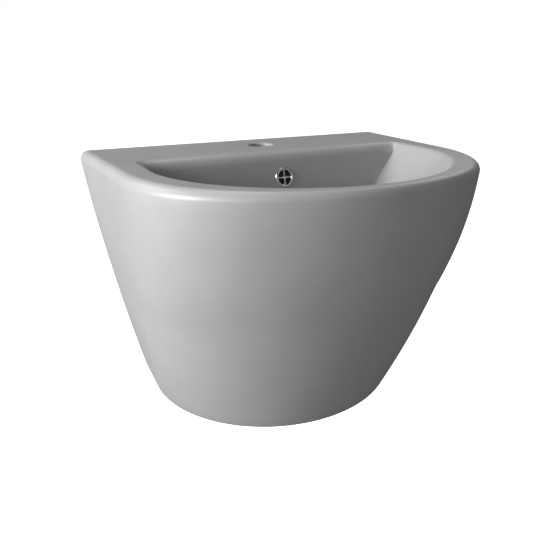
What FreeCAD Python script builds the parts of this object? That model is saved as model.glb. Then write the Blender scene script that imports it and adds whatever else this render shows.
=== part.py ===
import FreeCAD, Part
import math
import os
import Sketcher

# Wall hung ceramic basin with a tap ledge, a half shroud and its waste, trap and fixings.
# Millimetres. X runs along the wall, -Y into the room, +Z up.
# The origin is on the wall, midway between the two fixing studs.

DRIVING_SIZES = [
    # The shell, seen from above as a D: two nearly straight sides and a round front.
    ("rim_level", 85, "rim above the line of the wall fixings"),
    ("shell_drop", 340, "rim to the foot of the shroud"),
    ("rim_side_half", 228, "half width of the rim where the front round starts"),
    ("rim_flare", 3.6, "degrees the rim's sides open towards the wall"),
    ("rim_side_run", 187, "wall to the centre line of the rim's front round"),
    ("rim_reach", 385, "wall to the front of the rim"),
    ("waist_side_half", 214, "half width half way down, where the front round starts"),
    ("waist_flare", 0.5, "degrees the sides open towards the wall, half way down"),
    ("waist_side_run", 150, "wall to the centre line of the front round, half way down"),
    ("waist_reach", 330, "wall to the front, half way down"),
    ("foot_side_half", 183, "half width of the foot where the front round starts"),
    ("foot_flare", -1.5, "degrees the foot's sides open towards the wall"),
    ("foot_side_run", 80, "wall to the centre line of the foot's front round"),
    ("foot_reach", 258, "wall to the front of the foot"),
    ("shell_join_angle", 60, "degrees at which the corner arcs meet the front arc"),
    ("skin", 12, "wall of the shroud"),
    ("deck", 15, "thickness of the tap ledge and rim"),
    ("back_plate", 14, "thickness of the plate against the wall"),
    ("rim_round", 12, "radius of the rim's outer edge"),
    ("foot_edge", 2, "bevel of the shroud's lower edge"),
    # The bowl.
    ("mouth_setback", 126, "wall to the back edge of the bowl's mouth"),
    ("rim_side_width", 39, "width of the rim beside the bowl"),
    ("mouth_flare", -3, "degrees the mouth's sides open towards the wall"),
    ("mouth_side_run", 175, "wall to the centre line of the mouth's front round"),
    ("rim_front_width", 34, "width of the rim in front of the bowl"),
    ("bowl_depth", 130, "rim to the bowl's floor"),
    ("bowl_back_lean", 11.3, "degrees the bowl's back wall leans forward"),
    ("floor_side_half", 104, "half width of the floor where its front round starts"),
    ("floor_flare", -8, "degrees the floor's sides open towards the wall"),
    ("floor_side_run", 196, "wall to the centre line of the floor's front round"),
    ("floor_front_run", 38, "front of the floor behind the front of the waist"),
    ("bowl_join_angle", 45, "degrees at which the bowl's arcs meet"),
    ("mouth_corner", 9, "radius between the back and side walls at the mouth"),
    ("floor_corner", 22, "radius between the back and side walls at the floor"),
    ("floor_round", 26, "radius between the walls and the floor"),
    ("mouth_round", 9, "radius of the mouth's edge"),
    ("bowl_spread", 13, "level thickness of the bowl's wall"),
    ("bowl_base", 11, "thickness of the bowl's floor"),
    # Tap hole and overflow.
    ("tap_hole_r", 17.5, "tap hole"),
    ("tap_setback", 58, "wall to the tap hole's centre"),
    ("tap_hole_edge", 1.5, "bevel of the tap hole's upper edge"),
    ("overflow_drop", 34, "rim to the overflow's centre"),
    ("overflow_r", 11, "overflow hole"),
    ("duct_half", 22, "half width of the overflow duct"),
    ("duct_gap", 14, "clear depth of the overflow duct"),
    ("duct_wall", 9, "wall of the overflow duct"),
    ("duct_low", 16, "bowl's floor to the duct's level run"),
    # Waste outlet moulded in the bowl.
    ("waste_setback", 205, "wall to the waste's centre"),
    ("seat_r", 34.5, "recess for the waste flange"),
    ("seat_drop", 3, "depth of that recess"),
    ("waste_bore_r", 23, "waste hole"),
    ("boss_r", 37, "boss round the waste hole"),
    ("boss_low", 45, "bowl's floor to the underside of the boss"),
    # Wall side.
    ("fixing_half", 140, "half the distance between the fixing holes"),
    ("fixing_r", 9, "fixing hole"),
    ("back_door_half", 112, "half width of the opening to the trap"),
    ("back_door_drop", 172, "rim to the top of that opening"),
    ("back_door_corner", 30, "corner radius of that opening"),
    # Overflow grille.
    ("grille_r", 13.2, "outside of the grille"),
    ("grille_lip", 2.6, "how far the grille stands out of the bowl wall"),
    ("grille_mouth_r", 9.6, "clear mouth of the grille"),
    ("grille_spoke", 1.8, "width of a spoke"),
    ("grille_hub_r", 2.6, "hub of the spokes"),
    ("grille_skirt_r", 10.6, "skirt that enters the overflow hole"),
    ("grille_skirt", 13, "length of that skirt"),
    # Waste.
    ("flange_r", 32, "waste flange"),
    ("flange_thick", 2.5, "waste flange"),
    ("seal_thick", 1.5, "flat seal under the flange"),
    ("thread_r", 20.9, "waste thread"),
    ("tail_bore_r", 18, "bore of the waste"),
    ("tail_length", 75, "flange seat to the end of the waste"),
    ("window_half", 6, "half width of an overflow window in the waste"),
    ("window_low", 28, "flange seat to the lower end of the windows"),
    ("window_high", 12, "flange seat to the upper end of the windows"),
    ("bridge_drop", 42, "flange seat to the underside of the cross bar"),
    ("bridge_height", 8, "height of the cross bar"),
    ("bridge_half", 3, "half width of an arm of the cross bar"),
    ("socket_r", 9, "hub of the cross bar"),
    ("thread_gap", 0.3, "clearance over threads and slip fits"),
    ("lower_seal_r", 33, "seal under the boss"),
    ("lower_seal_thick", 6, "seal under the boss"),
    ("slip_washer_thick", 1.5, "slip washer"),
    ("back_nut_thick", 10, "back nut"),
    ("back_nut_flats", 56, "back nut across its flats"),
    # Push plug.
    ("plug_travel", 8, "travel of the push plug"),
    ("plug_r", 31, "plug cap"),
    ("plug_thick", 3.5, "plug cap at its middle"),
    ("plug_rim", 1.5, "plug cap at its edge"),
    ("plug_seal_out", 26, "outside of the plug's seal"),
    ("plug_seal_in", 20, "inside of the plug's seal"),
    ("plug_seal_thick", 2.5, "plug's seal"),
    ("closed_gap", 0.3, "what the travel leaves free under the seal"),
    ("stem_r", 2.5, "plug stem"),
    ("stem_foot_r", 4, "foot of the stem"),
    ("stem_foot", 2.5, "foot of the stem"),
    ("cartridge_r", 6.2, "body of the latch cartridge"),
    ("cartridge_bore_r", 4.5, "bore of the latch cartridge"),
    ("cartridge_length", 38, "latch cartridge"),
    ("cartridge_head", 4, "collar of the cartridge"),
    ("cartridge_wall", 2, "ends of the cartridge"),
    ("spring_r", 3.5, "mean radius of the spring's coil"),
    ("spring_wire_r", 0.4, "spring wire"),
    ("spring_turns", 5, "turns of the spring"),
    # Bottle trap.
    ("trap_nut_r", 27, "inlet nut"),
    ("trap_nut_rise", 11, "inlet nut above the end of the waste"),
    ("trap_nut_lip", 3.5, "lip of the trap's nuts"),
    ("trap_seal_thick", 2.5, "inlet seal"),
    ("trap_collar", 4, "collar of the trap's inlet"),
    ("trap_neck_r", 16, "neck and dip tube of the trap"),
    ("trap_neck_wall", 2, "wall of the neck and dip tube"),
    ("bottle_r", 32, "bottle of the trap"),
    ("bottle_wall", 2.5, "wall of the bottle"),
    ("bottle_top", 20, "end of the waste to the bottle's top"),
    ("bottle_end", 84, "end of the waste to the bottle's lower end"),
    ("dip_end", 96, "end of the waste to the end of the dip tube"),
    ("cup_top", 66, "end of the waste to the cup's upper edge"),
    ("cup_base", 118, "end of the waste to the cup's underside"),
    ("cup_wall", 3, "wall of the cup"),
    ("cup_seal_thick", 2.5, "seal between bottle and cup"),
    ("outlet_drop", 40, "end of the waste to the outlet's centre line"),
    ("spigot_r", 20, "outlet spigot"),
    ("spigot_end", 58, "trap's centre to the end of the spigot"),
    ("pipe_r", 16, "outlet pipe"),
    ("pipe_wall", 1.5, "outlet pipe"),
    ("pipe_insert", 12, "how far the pipe enters the spigot"),
    ("pipe_in_wall", 40, "outlet pipe beyond the wall's face"),
    ("pipe_mark", 0.4, "depth of the mark round the pipe that shows where the wall starts"),
    ("pipe_mark_width", 2, "width of that mark"),
    ("outlet_seal_thick", 5, "tapered seal on the outlet pipe"),
    ("outlet_nut_r", 25.5, "outlet nut"),
    ("outlet_nut_back", 14, "outlet nut over the spigot"),
    ("rosette_r", 32, "wall rosette"),
    ("rosette_depth", 9, "wall rosette"),
    ("rosette_wall", 1.5, "wall rosette"),
    # Wall fixings.
    ("stud_r", 5, "fixing stud"),
    ("stud_in_wall", 55, "stud beyond the wall's face"),
    ("stud_inside", 36, "wall's face to the free end of the stud"),
    ("stud_chamfer", 1.5, "chamfer at the stud's free end"),
    ("stud_point", 9, "length of the stud's point"),
    ("stud_shank_r", 4.7, "the stud's machine thread, outside the wall"),
    ("sleeve_flange_r", 16, "plastic sleeve's flange"),
    ("sleeve_flange", 3, "plastic sleeve's flange"),
    ("sleeve_gap", 0.3, "sleeve in the fixing hole, and on the stud"),
    ("washer_r", 14, "steel washer"),
    ("washer_thick", 2, "steel washer"),
    ("nut_flats", 17, "fixing nut across its flats"),
    ("nut_thick", 8, "fixing nut"),
]

RIB_COUNT = 12
WINDOW_COUNT = 4
SPOKE_COUNT = 4
BRIDGE_ARMS = 3


class Size:
    """A number together with the spreadsheet formula that drives it."""

    def __init__(self, value, text):
        self.value = value
        self.text = text

    def __add__(self, other):
        other = as_size(other)
        return Size(self.value + other.value, f"({self.text} + {other.text})")

    def __sub__(self, other):
        other = as_size(other)
        return Size(self.value - other.value, f"({self.text} - {other.text})")

    def __mul__(self, other):
        other = as_size(other)
        return Size(self.value * other.value, f"({self.text} * {other.text})")

    def __truediv__(self, other):
        other = as_size(other)
        return Size(self.value / other.value, f"({self.text} / {other.text})")

    def __neg__(self):
        return Size(-self.value, f"(-1 * {self.text})")


def as_size(number):
    return number if isinstance(number, Size) else Size(float(number), repr(float(number)))


def sine(angle):
    return Size(math.sin(math.radians(angle.value)), f"sin({angle.text})")


def cosine(angle):
    return Size(math.cos(math.radians(angle.value)), f"cos({angle.text})")


def tangent(angle):
    return Size(math.tan(math.radians(angle.value)), f"tan({angle.text})")


class Sizes:
    """The driving dimensions, one attribute each."""


def write_sheet(doc):
    """Put every driving dimension in the document's spreadsheet."""
    sheet = doc.addObject("Spreadsheet::Sheet", "Sizes")
    sizes = Sizes()
    for row, (alias, number, meaning) in enumerate(DRIVING_SIZES, start=1):
        sheet.set(f"A{row}", meaning)
        sheet.set(f"B{row}", str(number))
        sheet.setAlias(f"B{row}", alias)
        setattr(sizes, alias, Size(float(number), f"Sizes.{alias}"))
    doc.recompute()
    return sizes


doc = FreeCAD.newDocument("WallHungBasin")
s = write_sheet(doc)
nodes = []

ZERO = as_size(0)
ORIGIN = (ZERO, ZERO, ZERO)
RIM = s.rim_level
FLOOR = RIM - s.bowl_depth
SEAT = FLOOR - s.seat_drop
FOOT = RIM - s.shell_drop
WASTE_Y = -s.waste_setback
TAIL_END = SEAT - s.tail_length
RIGHT_ANGLE = as_size(90)
HALF_SIXTH = as_size(30)            # half the angle between two corners of a hexagon
INTO_WALL = -RIGHT_ANGLE            # turn that points a body's Z axis into the wall
ROUGH_CUT = as_size(30)             # how far a cutting sketch runs past the piece it trims
OUTLET_LEVEL = TAIL_END - s.outlet_drop
THREAD_CLEAR_R = s.thread_r + s.thread_gap


# ---------------------------------------------------------------- document helpers

def place(item, base, turn=None):
    """Drive an item's Placement; turn is its angle about X in degrees."""
    if turn is not None:
        rotation = FreeCAD.Rotation(FreeCAD.Vector(1, 0, 0), turn.value)
        item.Placement = FreeCAD.Placement(FreeCAD.Vector(), rotation)
        if turn.value > 0:
            item.setExpression("Placement.Rotation.Angle", turn.text)
    for axis, where in zip("xyz", base):
        if where is not ZERO:
            item.setExpression(f"Placement.Base.{axis}", where.text)


def new_body(label, base=ORIGIN, turn=None):
    body = doc.addObject("PartDesign::Body", label)
    body.Label = label
    body.AllowCompound = True
    place(body, base, turn)
    nodes.append(body)
    return body


def origin_plane(body, role):
    return next(item for item in body.Origin.OriginFeatures if item.Role == role)


def attached_sketch(body, name, role, lift=ZERO, shift=ZERO):
    """A sketch on an origin plane, lifted along its normal and shifted along its X."""
    sketch = body.newObject("Sketcher::SketchObject", name)
    sketch.AttachmentSupport = [(origin_plane(body, role), "")]
    sketch.MapMode = "FlatFace"
    start = FreeCAD.Vector(shift.value, 0, lift.value)
    sketch.AttachmentOffset = FreeCAD.Placement(start, FreeCAD.Rotation())
    for axis, place in (("x", shift), ("z", lift)):
        if place is not ZERO:
            sketch.setExpression(f"AttachmentOffset.Base.{axis}", place.text)
    return sketch


def drive(sketch, name, size, *constraint):
    """Add a dimension to a sketch and bind it to its formula."""
    index = sketch.addConstraint(Sketcher.Constraint(*constraint, size.value))
    sketch.renameConstraint(index, name)
    sketch.setExpression(f"Constraints.{name}", size.text)


def polygon(sketch, points, tag=""):
    """A closed outline with straight sides, each corner held by two dimensions."""
    first = sketch.GeometryCount
    corners = [FreeCAD.Vector(x.value, y.value, 0) for x, y in points]
    for here, there in zip(corners, corners[1:] + corners[:1]):
        sketch.addGeometry(Part.LineSegment(here, there))
    count = len(points)
    for i in range(count):
        following = first + (i + 1) % count
        sketch.addConstraint(Sketcher.Constraint("Coincident", first + i, 2, following, 1))
    for i, (x, y) in enumerate(points):
        drive(sketch, f"x{tag}{i}", x, "DistanceX", -1, 1, first + i, 1)
        drive(sketch, f"y{tag}{i}", y, "DistanceY", -1, 1, first + i, 1)


def circle(sketch, x, y, radius, tag=""):
    centre = FreeCAD.Vector(x.value, y.value, 0)
    index = sketch.addGeometry(Part.Circle(centre, FreeCAD.Vector(0, 0, 1), radius.value))
    drive(sketch, f"cx{tag}", x, "DistanceX", -1, 1, index, 3)
    drive(sketch, f"cy{tag}", y, "DistanceY", -1, 1, index, 3)
    drive(sketch, f"r{tag}", radius, "Radius", index)


def box_points(x0, x1, y0, y1):
    return [(x0, y0), (x1, y0), (x1, y1), (x0, y1)]


def hexagon_points(flats):
    """Corners of a hexagon a given size across its flats."""
    radius = flats / (cosine(HALF_SIXTH) * 2)
    turns = [HALF_SIXTH * 2 * i for i in range(6)]
    return [(radius * cosine(turn), radius * sine(turn)) for turn in turns]


def revolve(body, name, points, shift=ZERO, cut=False):
    """Turn a profile of (radius, height) points about a line along the body's Z axis."""
    sketch = attached_sketch(body, f"{name}_profile", "XZ_Plane", shift=shift)
    polygon(sketch, points)
    feature = body.newObject("PartDesign::Groove" if cut else "PartDesign::Revolution", name)
    feature.Profile = sketch
    feature.ReferenceAxis = (sketch, ["V_Axis"])
    doc.recompute()
    return feature


def extrude(body, name, sketch, length=None, both_ways=False, cut=False, reverse=False):
    feature = body.newObject("PartDesign::Pocket" if cut else "PartDesign::Pad", name)
    feature.Profile = sketch
    if length is None:
        feature.Type = "ThroughAll"
    else:
        feature.Length = length.value
        feature.setExpression("Length", length.text)
    feature.Midplane = both_ways
    feature.Reversed = reverse
    doc.recompute()
    return feature


def repeat_round(body, name, originals, count):
    pattern = body.newObject("PartDesign::PolarPattern", name)
    pattern.Originals = originals
    pattern.Axis = (origin_plane(body, "Z_Axis"), [""])
    pattern.Angle = 360
    pattern.Occurrences = count
    body.Tip = pattern
    doc.recompute()
    return pattern


def mirror_across_x(body, name, originals):
    mirrored = body.newObject("PartDesign::Mirrored", name)
    mirrored.Originals = originals
    mirrored.MirrorPlane = (origin_plane(body, "YZ_Plane"), [""])
    body.Tip = mirrored
    doc.recompute()
    return mirrored


def dress_edges(body, name, kind, measure, size, choose):
    """Fillet or chamfer the edges of the body's last feature that choose() accepts."""
    tip = body.Tip
    picked = [f"Edge{i}" for i, edge in enumerate(tip.Shape.Edges, start=1) if choose(edge)]
    feature = body.newObject(f"PartDesign::{kind}", name)
    feature.Base = (tip, picked)
    setattr(feature, measure, size.value)
    feature.setExpression(measure, size.text)
    doc.recompute()
    return feature


def round_edges(body, name, radius, choose):
    return dress_edges(body, name, "Fillet", "Radius", radius, choose)


def bevel_edges(body, name, size, choose):
    return dress_edges(body, name, "Chamfer", "Size", size, choose)


def lathe(label, base, points, turn=None):
    body = new_body(label, base, turn)
    revolve(body, f"{label}_turned", points)
    return body


def ring(label, base, inner, outer, low, high, turn=None):
    return lathe(label, base, box_points(inner, outer, low, high), turn)


def turned_pair(label, points):
    """The same turned piece at both wall fixings, with its own Z pointing into the wall."""
    body = new_body(label, ORIGIN, INTO_WALL)
    turned = revolve(body, f"{label}_turned", points, shift=s.fixing_half)
    mirror_across_x(body, f"{label}_mirrored", [turned])
    return body


# ---------------------------------------------------------------- D shaped plans

class Plan:
    """One level of a D: a straight back, two sides and a front of three tangent arcs."""

    def __init__(self, side_half, flare, side_run, reach, back_line, join_angle, back_corner=None):
        self.side_half = side_half
        self.flare = flare
        self.side_run = side_run
        self.reach = reach
        self.back_line = back_line
        self.join_angle = join_angle
        self.back_corner = back_corner

    def spread(self, amount):
        """The same plan moved outward by amount on every side."""
        corner = None if self.back_corner is None else self.back_corner + amount
        return Plan(self.side_half + amount, self.flare, self.side_run,
                    self.reach + amount, self.back_line + amount, self.join_angle, corner)

    def with_back_line(self, back_line):
        return Plan(self.side_half, self.flare, self.side_run, self.reach,
                    back_line, self.join_angle, self.back_corner)

    def arc_radii(self):
        """Radii of the corner and front arcs that meet at join_angle."""
        cos, sin = cosine(self.join_angle), sine(self.join_angle)
        depth = self.reach - self.side_run
        spare = as_size(1) - cos - sin
        corner = (self.side_half * (as_size(1) - sin) - depth * cos) / spare
        front = ((as_size(1) - cos) * depth - self.side_half * sin) / spare
        return corner, front

    def side_at(self, y):
        """X of the straight side, which leans by flare and touches the corner arc, at y."""
        corner_r = self.arc_radii()[0]
        centre_x = self.side_half - corner_r
        return centre_x + corner_r / cosine(self.flare) + (y + self.side_run) * tangent(self.flare)


def arc(sketch, centre, radius, start, end):
    """An arc from start to end, counter clockwise, about centre."""
    first = math.atan2(start[1] - centre[1], start[0] - centre[0])
    last = math.atan2(end[1] - centre[1], end[0] - centre[0])
    if last < first:
        last += 2 * math.pi
    round_line = Part.Circle(FreeCAD.Vector(*centre, 0), FreeCAD.Vector(0, 0, 1), radius)
    return sketch.addGeometry(Part.ArcOfCircle(round_line, first, last))


def line(sketch, start, end):
    return sketch.addGeometry(Part.LineSegment(FreeCAD.Vector(*start, 0), FreeCAD.Vector(*end, 0)))


def mirror_point(point):
    return -point[0], point[1]


def plan_sketch(body, name, plan, level):
    """Draw a Plan as a fully constrained sketch at one level."""
    sketch = attached_sketch(body, name, "XY_Plane", level)
    corner_r, front_r = plan.arc_radii()
    corner_x = plan.side_half - corner_r
    corner_centre = (corner_x.value, -plan.side_run.value)
    front_centre = (0.0, front_r.value - plan.reach.value)
    join = math.radians(plan.join_angle.value)
    join_point = (front_r.value * math.cos(join), front_centre[1] - front_r.value * math.sin(join))
    lean = math.radians(plan.flare.value)
    side_end = (corner_centre[0] + corner_r.value * math.cos(lean),
                corner_centre[1] - corner_r.value * math.sin(lean))
    if plan.back_corner is None:
        back_half = plan.side_at(plan.back_line)
        back_end = (back_half.value, plan.back_line.value)
        side_start = back_end
    else:
        small_r = plan.back_corner.value
        small_y = plan.back_line - plan.back_corner
        small_x = plan.side_at(small_y) - plan.back_corner / cosine(plan.flare)
        small_centre = (small_x.value, small_y.value)
        back_end = (small_x.value, plan.back_line.value)
        side_start = (small_x.value + small_r * math.cos(lean), small_y.value - small_r * math.sin(lean))

    back = line(sketch, mirror_point(back_end), back_end)
    right = line(sketch, side_start, side_end)
    corner = arc(sketch, corner_centre, corner_r.value, join_point, side_end)
    front = arc(sketch, front_centre, front_r.value, mirror_point(join_point), join_point)
    far_corner = arc(sketch, mirror_point(corner_centre), corner_r.value,
                     mirror_point(side_end), mirror_point(join_point))
    left = line(sketch, mirror_point(side_end), mirror_point(side_start))

    def add(*constraint):
        sketch.addConstraint(Sketcher.Constraint(*constraint))

    add("Tangent", right, 2, corner, 2)
    add("Tangent", corner, 1, front, 2)
    add("Tangent", front, 1, far_corner, 2)
    add("Tangent", far_corner, 1, left, 1)
    if plan.back_corner is None:
        add("Coincident", back, 2, right, 1)
        add("Coincident", left, 2, back, 1)
        drive(sketch, "back_half", back_half, "DistanceX", -1, 1, back, 2)
    else:
        near = arc(sketch, small_centre, small_r, side_start, back_end)
        far = arc(sketch, mirror_point(small_centre), small_r,
                  mirror_point(back_end), mirror_point(side_start))
        add("Tangent", back, 2, near, 2)
        add("Tangent", near, 1, right, 1)
        add("Tangent", left, 2, far, 2)
        add("Tangent", far, 1, back, 1)
        add("Equal", near, far)
        drive(sketch, "back_corner", plan.back_corner, "Radius", near)
        drive(sketch, "back_corner_x", small_x, "DistanceX", -1, 1, near, 3)
    add("Symmetric", back, 1, back, 2, -2)
    add("Symmetric", corner, 3, far_corner, 3, -2)
    add("Equal", corner, far_corner)
    drive(sketch, "back_line", plan.back_line, "DistanceY", -1, 1, back, 2)
    drive(sketch, "corner_x", corner_x, "DistanceX", -1, 1, corner, 3)
    drive(sketch, "corner_y", -plan.side_run, "DistanceY", -1, 1, corner, 3)
    drive(sketch, "corner_r", corner_r, "Radius", corner)
    drive(sketch, "front_r", front_r, "Radius", front)
    return sketch


def loft(body, name, levels, cut=False, straight=False):
    """Loft through (plan, level) pairs, from the first to the last."""
    sketches = [plan_sketch(body, f"{name}_{i}", plan, level) for i, (plan, level) in enumerate(levels)]
    feature = body.newObject("PartDesign::SubtractiveLoft" if cut else "PartDesign::AdditiveLoft", name)
    feature.Profile = sketches[0]
    feature.Sections = sketches[1:]
    feature.Ruled = straight
    doc.recompute()
    return feature


WALL_OVERRUN = as_size(2)
RIM_PLAN = Plan(s.rim_side_half, s.rim_flare, s.rim_side_run, s.rim_reach,
                WALL_OVERRUN, s.shell_join_angle)
WAIST_PLAN = Plan(s.waist_side_half, s.waist_flare, s.waist_side_run, s.waist_reach,
                  WALL_OVERRUN, s.shell_join_angle)
FOOT_PLAN = Plan(s.foot_side_half, s.foot_flare, s.foot_side_run, s.foot_reach,
                 WALL_OVERRUN, s.shell_join_angle)
WAIST = RIM - s.shell_drop / 2
LEDGE_UNDERSIDE = RIM - s.deck
MOUTH_HALF = s.rim_side_half - s.rim_side_width
MOUTH_REACH = s.rim_reach - s.rim_front_width
BOWL_BACK_SLOPE = tangent(s.bowl_back_lean)
MOUTH_PLAN = Plan(MOUTH_HALF, s.mouth_flare, s.mouth_side_run, MOUTH_REACH,
                  -s.mouth_setback, s.bowl_join_angle, s.mouth_corner)
FLOOR_PLAN = Plan(s.floor_side_half, s.floor_flare, s.floor_side_run,
                  s.waist_reach - s.floor_front_run,
                  -s.mouth_setback - s.bowl_depth * BOWL_BACK_SLOPE, s.bowl_join_angle, s.floor_corner)


# ---------------------------------------------------------------- the ceramic
# One casting. Its three cast members meet at the ledge's underside, each a node of its own:
# the rim with the tap ledge, the bowl with its overflow duct, and the shroud with its back plate.

def flat_at(edge, level, tolerance=0.01):
    box = edge.BoundBox
    return abs(box.ZMin - level.value) < tolerance and abs(box.ZMax - level.value) < tolerance


def outer_edge_at(level):
    """A test for the level edges of the outer D, apart from the one along the wall."""
    return lambda edge: flat_at(edge, level) and edge.BoundBox.YMin < -1


def cut_levels(body, name, low, high):
    """Cut away everything between two levels."""
    sketch = attached_sketch(body, f"{name}_profile", "YZ_Plane")
    polygon(sketch, box_points(-s.rim_reach - ROUGH_CUT, ROUGH_CUT, low, high))
    extrude(body, name, sketch, cut=True, both_ways=True)


def build_shell(body):
    """The outer D, flat against the wall."""
    loft(body, "shell", [(RIM_PLAN, RIM), (WAIST_PLAN, WAIST), (FOOT_PLAN, FOOT)])
    trim = attached_sketch(body, "wall_face_line", "YZ_Plane")
    polygon(trim, box_points(ZERO, WALL_OVERRUN * 2, FOOT - ROUGH_CUT, RIM + ROUGH_CUT))
    extrude(body, "wall_face", trim, cut=True, both_ways=True)


def cut_bowl(body):
    """The inside of the bowl, from its mouth to its floor."""
    loft(body, "bowl_inside", [(MOUTH_PLAN, RIM), (FLOOR_PLAN, FLOOR)], cut=True, straight=True)


def cut_tap_hole(body):
    tap = attached_sketch(body, "tap_circle", "XY_Plane", RIM)
    circle(tap, ZERO, -s.tap_setback, s.tap_hole_r)
    extrude(body, "tap_hole", tap, s.deck * 2, cut=True)

    def is_tap_edge(edge):
        return flat_at(edge, RIM) and edge.BoundBox.YMin > -s.tap_setback.value - s.tap_hole_r.value - 1 \
            and edge.BoundBox.YMax < -s.tap_setback.value + s.tap_hole_r.value + 1

    bevel_edges(body, "tap_edge_bevelled", s.tap_hole_edge, is_tap_edge)


def make_ledge():
    """The flat rim and tap ledge round the bowl's mouth."""
    body = new_body("basin_ledge")
    build_shell(body)
    round_edges(body, "rim_rounded", s.rim_round, outer_edge_at(RIM))
    cut_levels(body, "below_ledge", FOOT - ROUGH_CUT, LEDGE_UNDERSIDE)
    cut_bowl(body)

    def is_mouth(edge):
        box = edge.BoundBox
        inside = box.YMax < -s.mouth_setback.value + 1 and box.YMin > -MOUTH_REACH.value - 1
        return flat_at(edge, RIM) and inside and abs(box.XMin) < MOUTH_HALF.value + 1

    round_edges(body, "mouth_rounded", s.mouth_round, is_mouth)
    cut_tap_hole(body)


DUCT_DROP = s.bowl_depth + s.duct_low


def duct_back(drop):
    """Y of the bowl wall's outer face at a drop below the rim."""
    return -s.mouth_setback + s.bowl_spread - drop * BOWL_BACK_SLOPE


def build_duct(body):
    """A duct behind the bowl carries the overflow down to the waste hole."""
    deep = DUCT_DROP + s.duct_gap
    block_top = s.deck / 2
    block_deep = deep + s.duct_wall
    thick = s.duct_gap + s.duct_wall
    inner = -s.bowl_spread / 2
    sketch = attached_sketch(body, "duct_block_profile", "YZ_Plane")
    polygon(sketch, [(duct_back(block_top) + inner, RIM - block_top),
                     (duct_back(block_top) + thick, RIM - block_top),
                     (duct_back(block_deep) + thick, RIM - block_deep),
                     (WASTE_Y, RIM - block_deep),
                     (WASTE_Y, FLOOR - s.bowl_base / 2),
                     (duct_back(s.bowl_depth) + inner, FLOOR - s.bowl_base / 2)])
    extrude(body, "duct_block", sketch, (s.duct_half + s.duct_wall) * 2, both_ways=True)


def build_boss(body):
    sketch = attached_sketch(body, "boss_circle", "XY_Plane", FLOOR - s.bowl_base / 2)
    circle(sketch, ZERO, WASTE_Y, s.boss_r)
    extrude(body, "boss", sketch, s.boss_low - s.bowl_base / 2, reverse=True)


def cut_duct(body):
    top = s.overflow_drop - s.duct_gap
    deep = DUCT_DROP + s.duct_gap
    sketch = attached_sketch(body, "duct_profile", "YZ_Plane")
    polygon(sketch, [(duct_back(top), RIM - top),
                     (duct_back(top) + s.duct_gap, RIM - top),
                     (duct_back(deep) + s.duct_gap, RIM - deep),
                     (WASTE_Y, RIM - deep),
                     (WASTE_Y, RIM - DUCT_DROP),
                     (duct_back(DUCT_DROP), RIM - DUCT_DROP)])
    extrude(body, "duct", sketch, s.duct_half * 2, cut=True, both_ways=True)


def cut_waste_hole(body):
    seat = attached_sketch(body, "seat_circle", "XY_Plane", FLOOR)
    circle(seat, ZERO, WASTE_Y, s.seat_r)
    extrude(body, "seat", seat, s.seat_drop, cut=True)
    waste = attached_sketch(body, "waste_circle", "XY_Plane", FLOOR)
    circle(waste, ZERO, WASTE_Y, s.waste_bore_r)
    extrude(body, "waste_hole", waste, cut=True)


def cut_overflow(body):
    """The overflow hole goes square through the leaning back wall of the bowl."""
    hole = body.newObject("PartDesign::SubtractiveCylinder", "overflow_hole")
    behind = s.bowl_spread * 1.2
    base = (ZERO, OVERFLOW_Y + behind * cosine(s.bowl_back_lean),
            RIM - s.overflow_drop - behind * sine(s.bowl_back_lean))
    place(hole, base, GRILLE_TURN)
    hole.setExpression("Radius", s.overflow_r.text)
    hole.setExpression("Height", (behind * 2).text)
    doc.recompute()


OVERFLOW_Y = -s.mouth_setback - s.overflow_drop * BOWL_BACK_SLOPE
GRILLE_TURN = RIGHT_ANGLE - s.bowl_back_lean


def make_bowl():
    """The bowl hangs from the ledge inside the shroud, with its duct and its waste boss."""
    body = new_body("basin_bowl")
    loft(body, "bowl_wall", [(MOUTH_PLAN.spread(s.bowl_spread), RIM - s.deck / 2),
                             (FLOOR_PLAN.spread(s.bowl_spread), FLOOR - s.bowl_base)], straight=True)
    build_duct(body)
    build_boss(body)
    cut_levels(body, "above_bowl", LEDGE_UNDERSIDE, RIM + ROUGH_CUT)
    cut_bowl(body)
    round_edges(body, "floor_rounded", s.floor_round, lambda edge: flat_at(edge, FLOOR))
    cut_duct(body)
    cut_waste_hole(body)
    cut_overflow(body)


def cut_fixing_holes(body):
    fixings = attached_sketch(body, "fixing_circles", "XZ_Plane")
    circle(fixings, -s.fixing_half, ZERO, s.fixing_r, "_left")
    circle(fixings, s.fixing_half, ZERO, s.fixing_r, "_right")
    extrude(body, "fixing_holes", fixings, s.back_plate * 2, cut=True, both_ways=True)


def cut_back_door(body):
    """The back plate is open below, so the trap reaches the wall."""
    sketch = attached_sketch(body, "back_door_profile", "XZ_Plane")
    polygon(sketch, box_points(-s.back_door_half, s.back_door_half,
                               FOOT - ROUGH_CUT, RIM - s.back_door_drop))
    extrude(body, "back_door", sketch, s.back_plate * 4, cut=True, both_ways=True)

    def is_door_corner(edge):
        box = edge.BoundBox
        upright = box.XMax - box.XMin < 0.01 and box.ZMax - box.ZMin < 0.01
        at_corner = abs(abs(box.XMin) - s.back_door_half.value) < 0.01
        return upright and at_corner and abs(box.ZMin - RIM.value + s.back_door_drop.value) < 0.01

    round_edges(body, "back_door_rounded", s.back_door_corner, is_door_corner)


def make_shroud():
    """The D shaped wall below the ledge, open underneath, with the plate against the wall."""
    body = new_body("basin_shroud")
    build_shell(body)
    bevel_edges(body, "foot_bevelled", s.foot_edge, outer_edge_at(FOOT))
    outer = [(RIM_PLAN, RIM), (WAIST_PLAN, WAIST), (FOOT_PLAN, FOOT)]
    inside = [(plan.spread(-s.skin).with_back_line(-s.back_plate), level) for plan, level in outer]
    loft(body, "hollow", inside, cut=True)
    cut_levels(body, "above_shroud", LEDGE_UNDERSIDE, RIM + ROUGH_CUT)
    cut_fixing_holes(body)
    cut_back_door(body)


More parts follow.
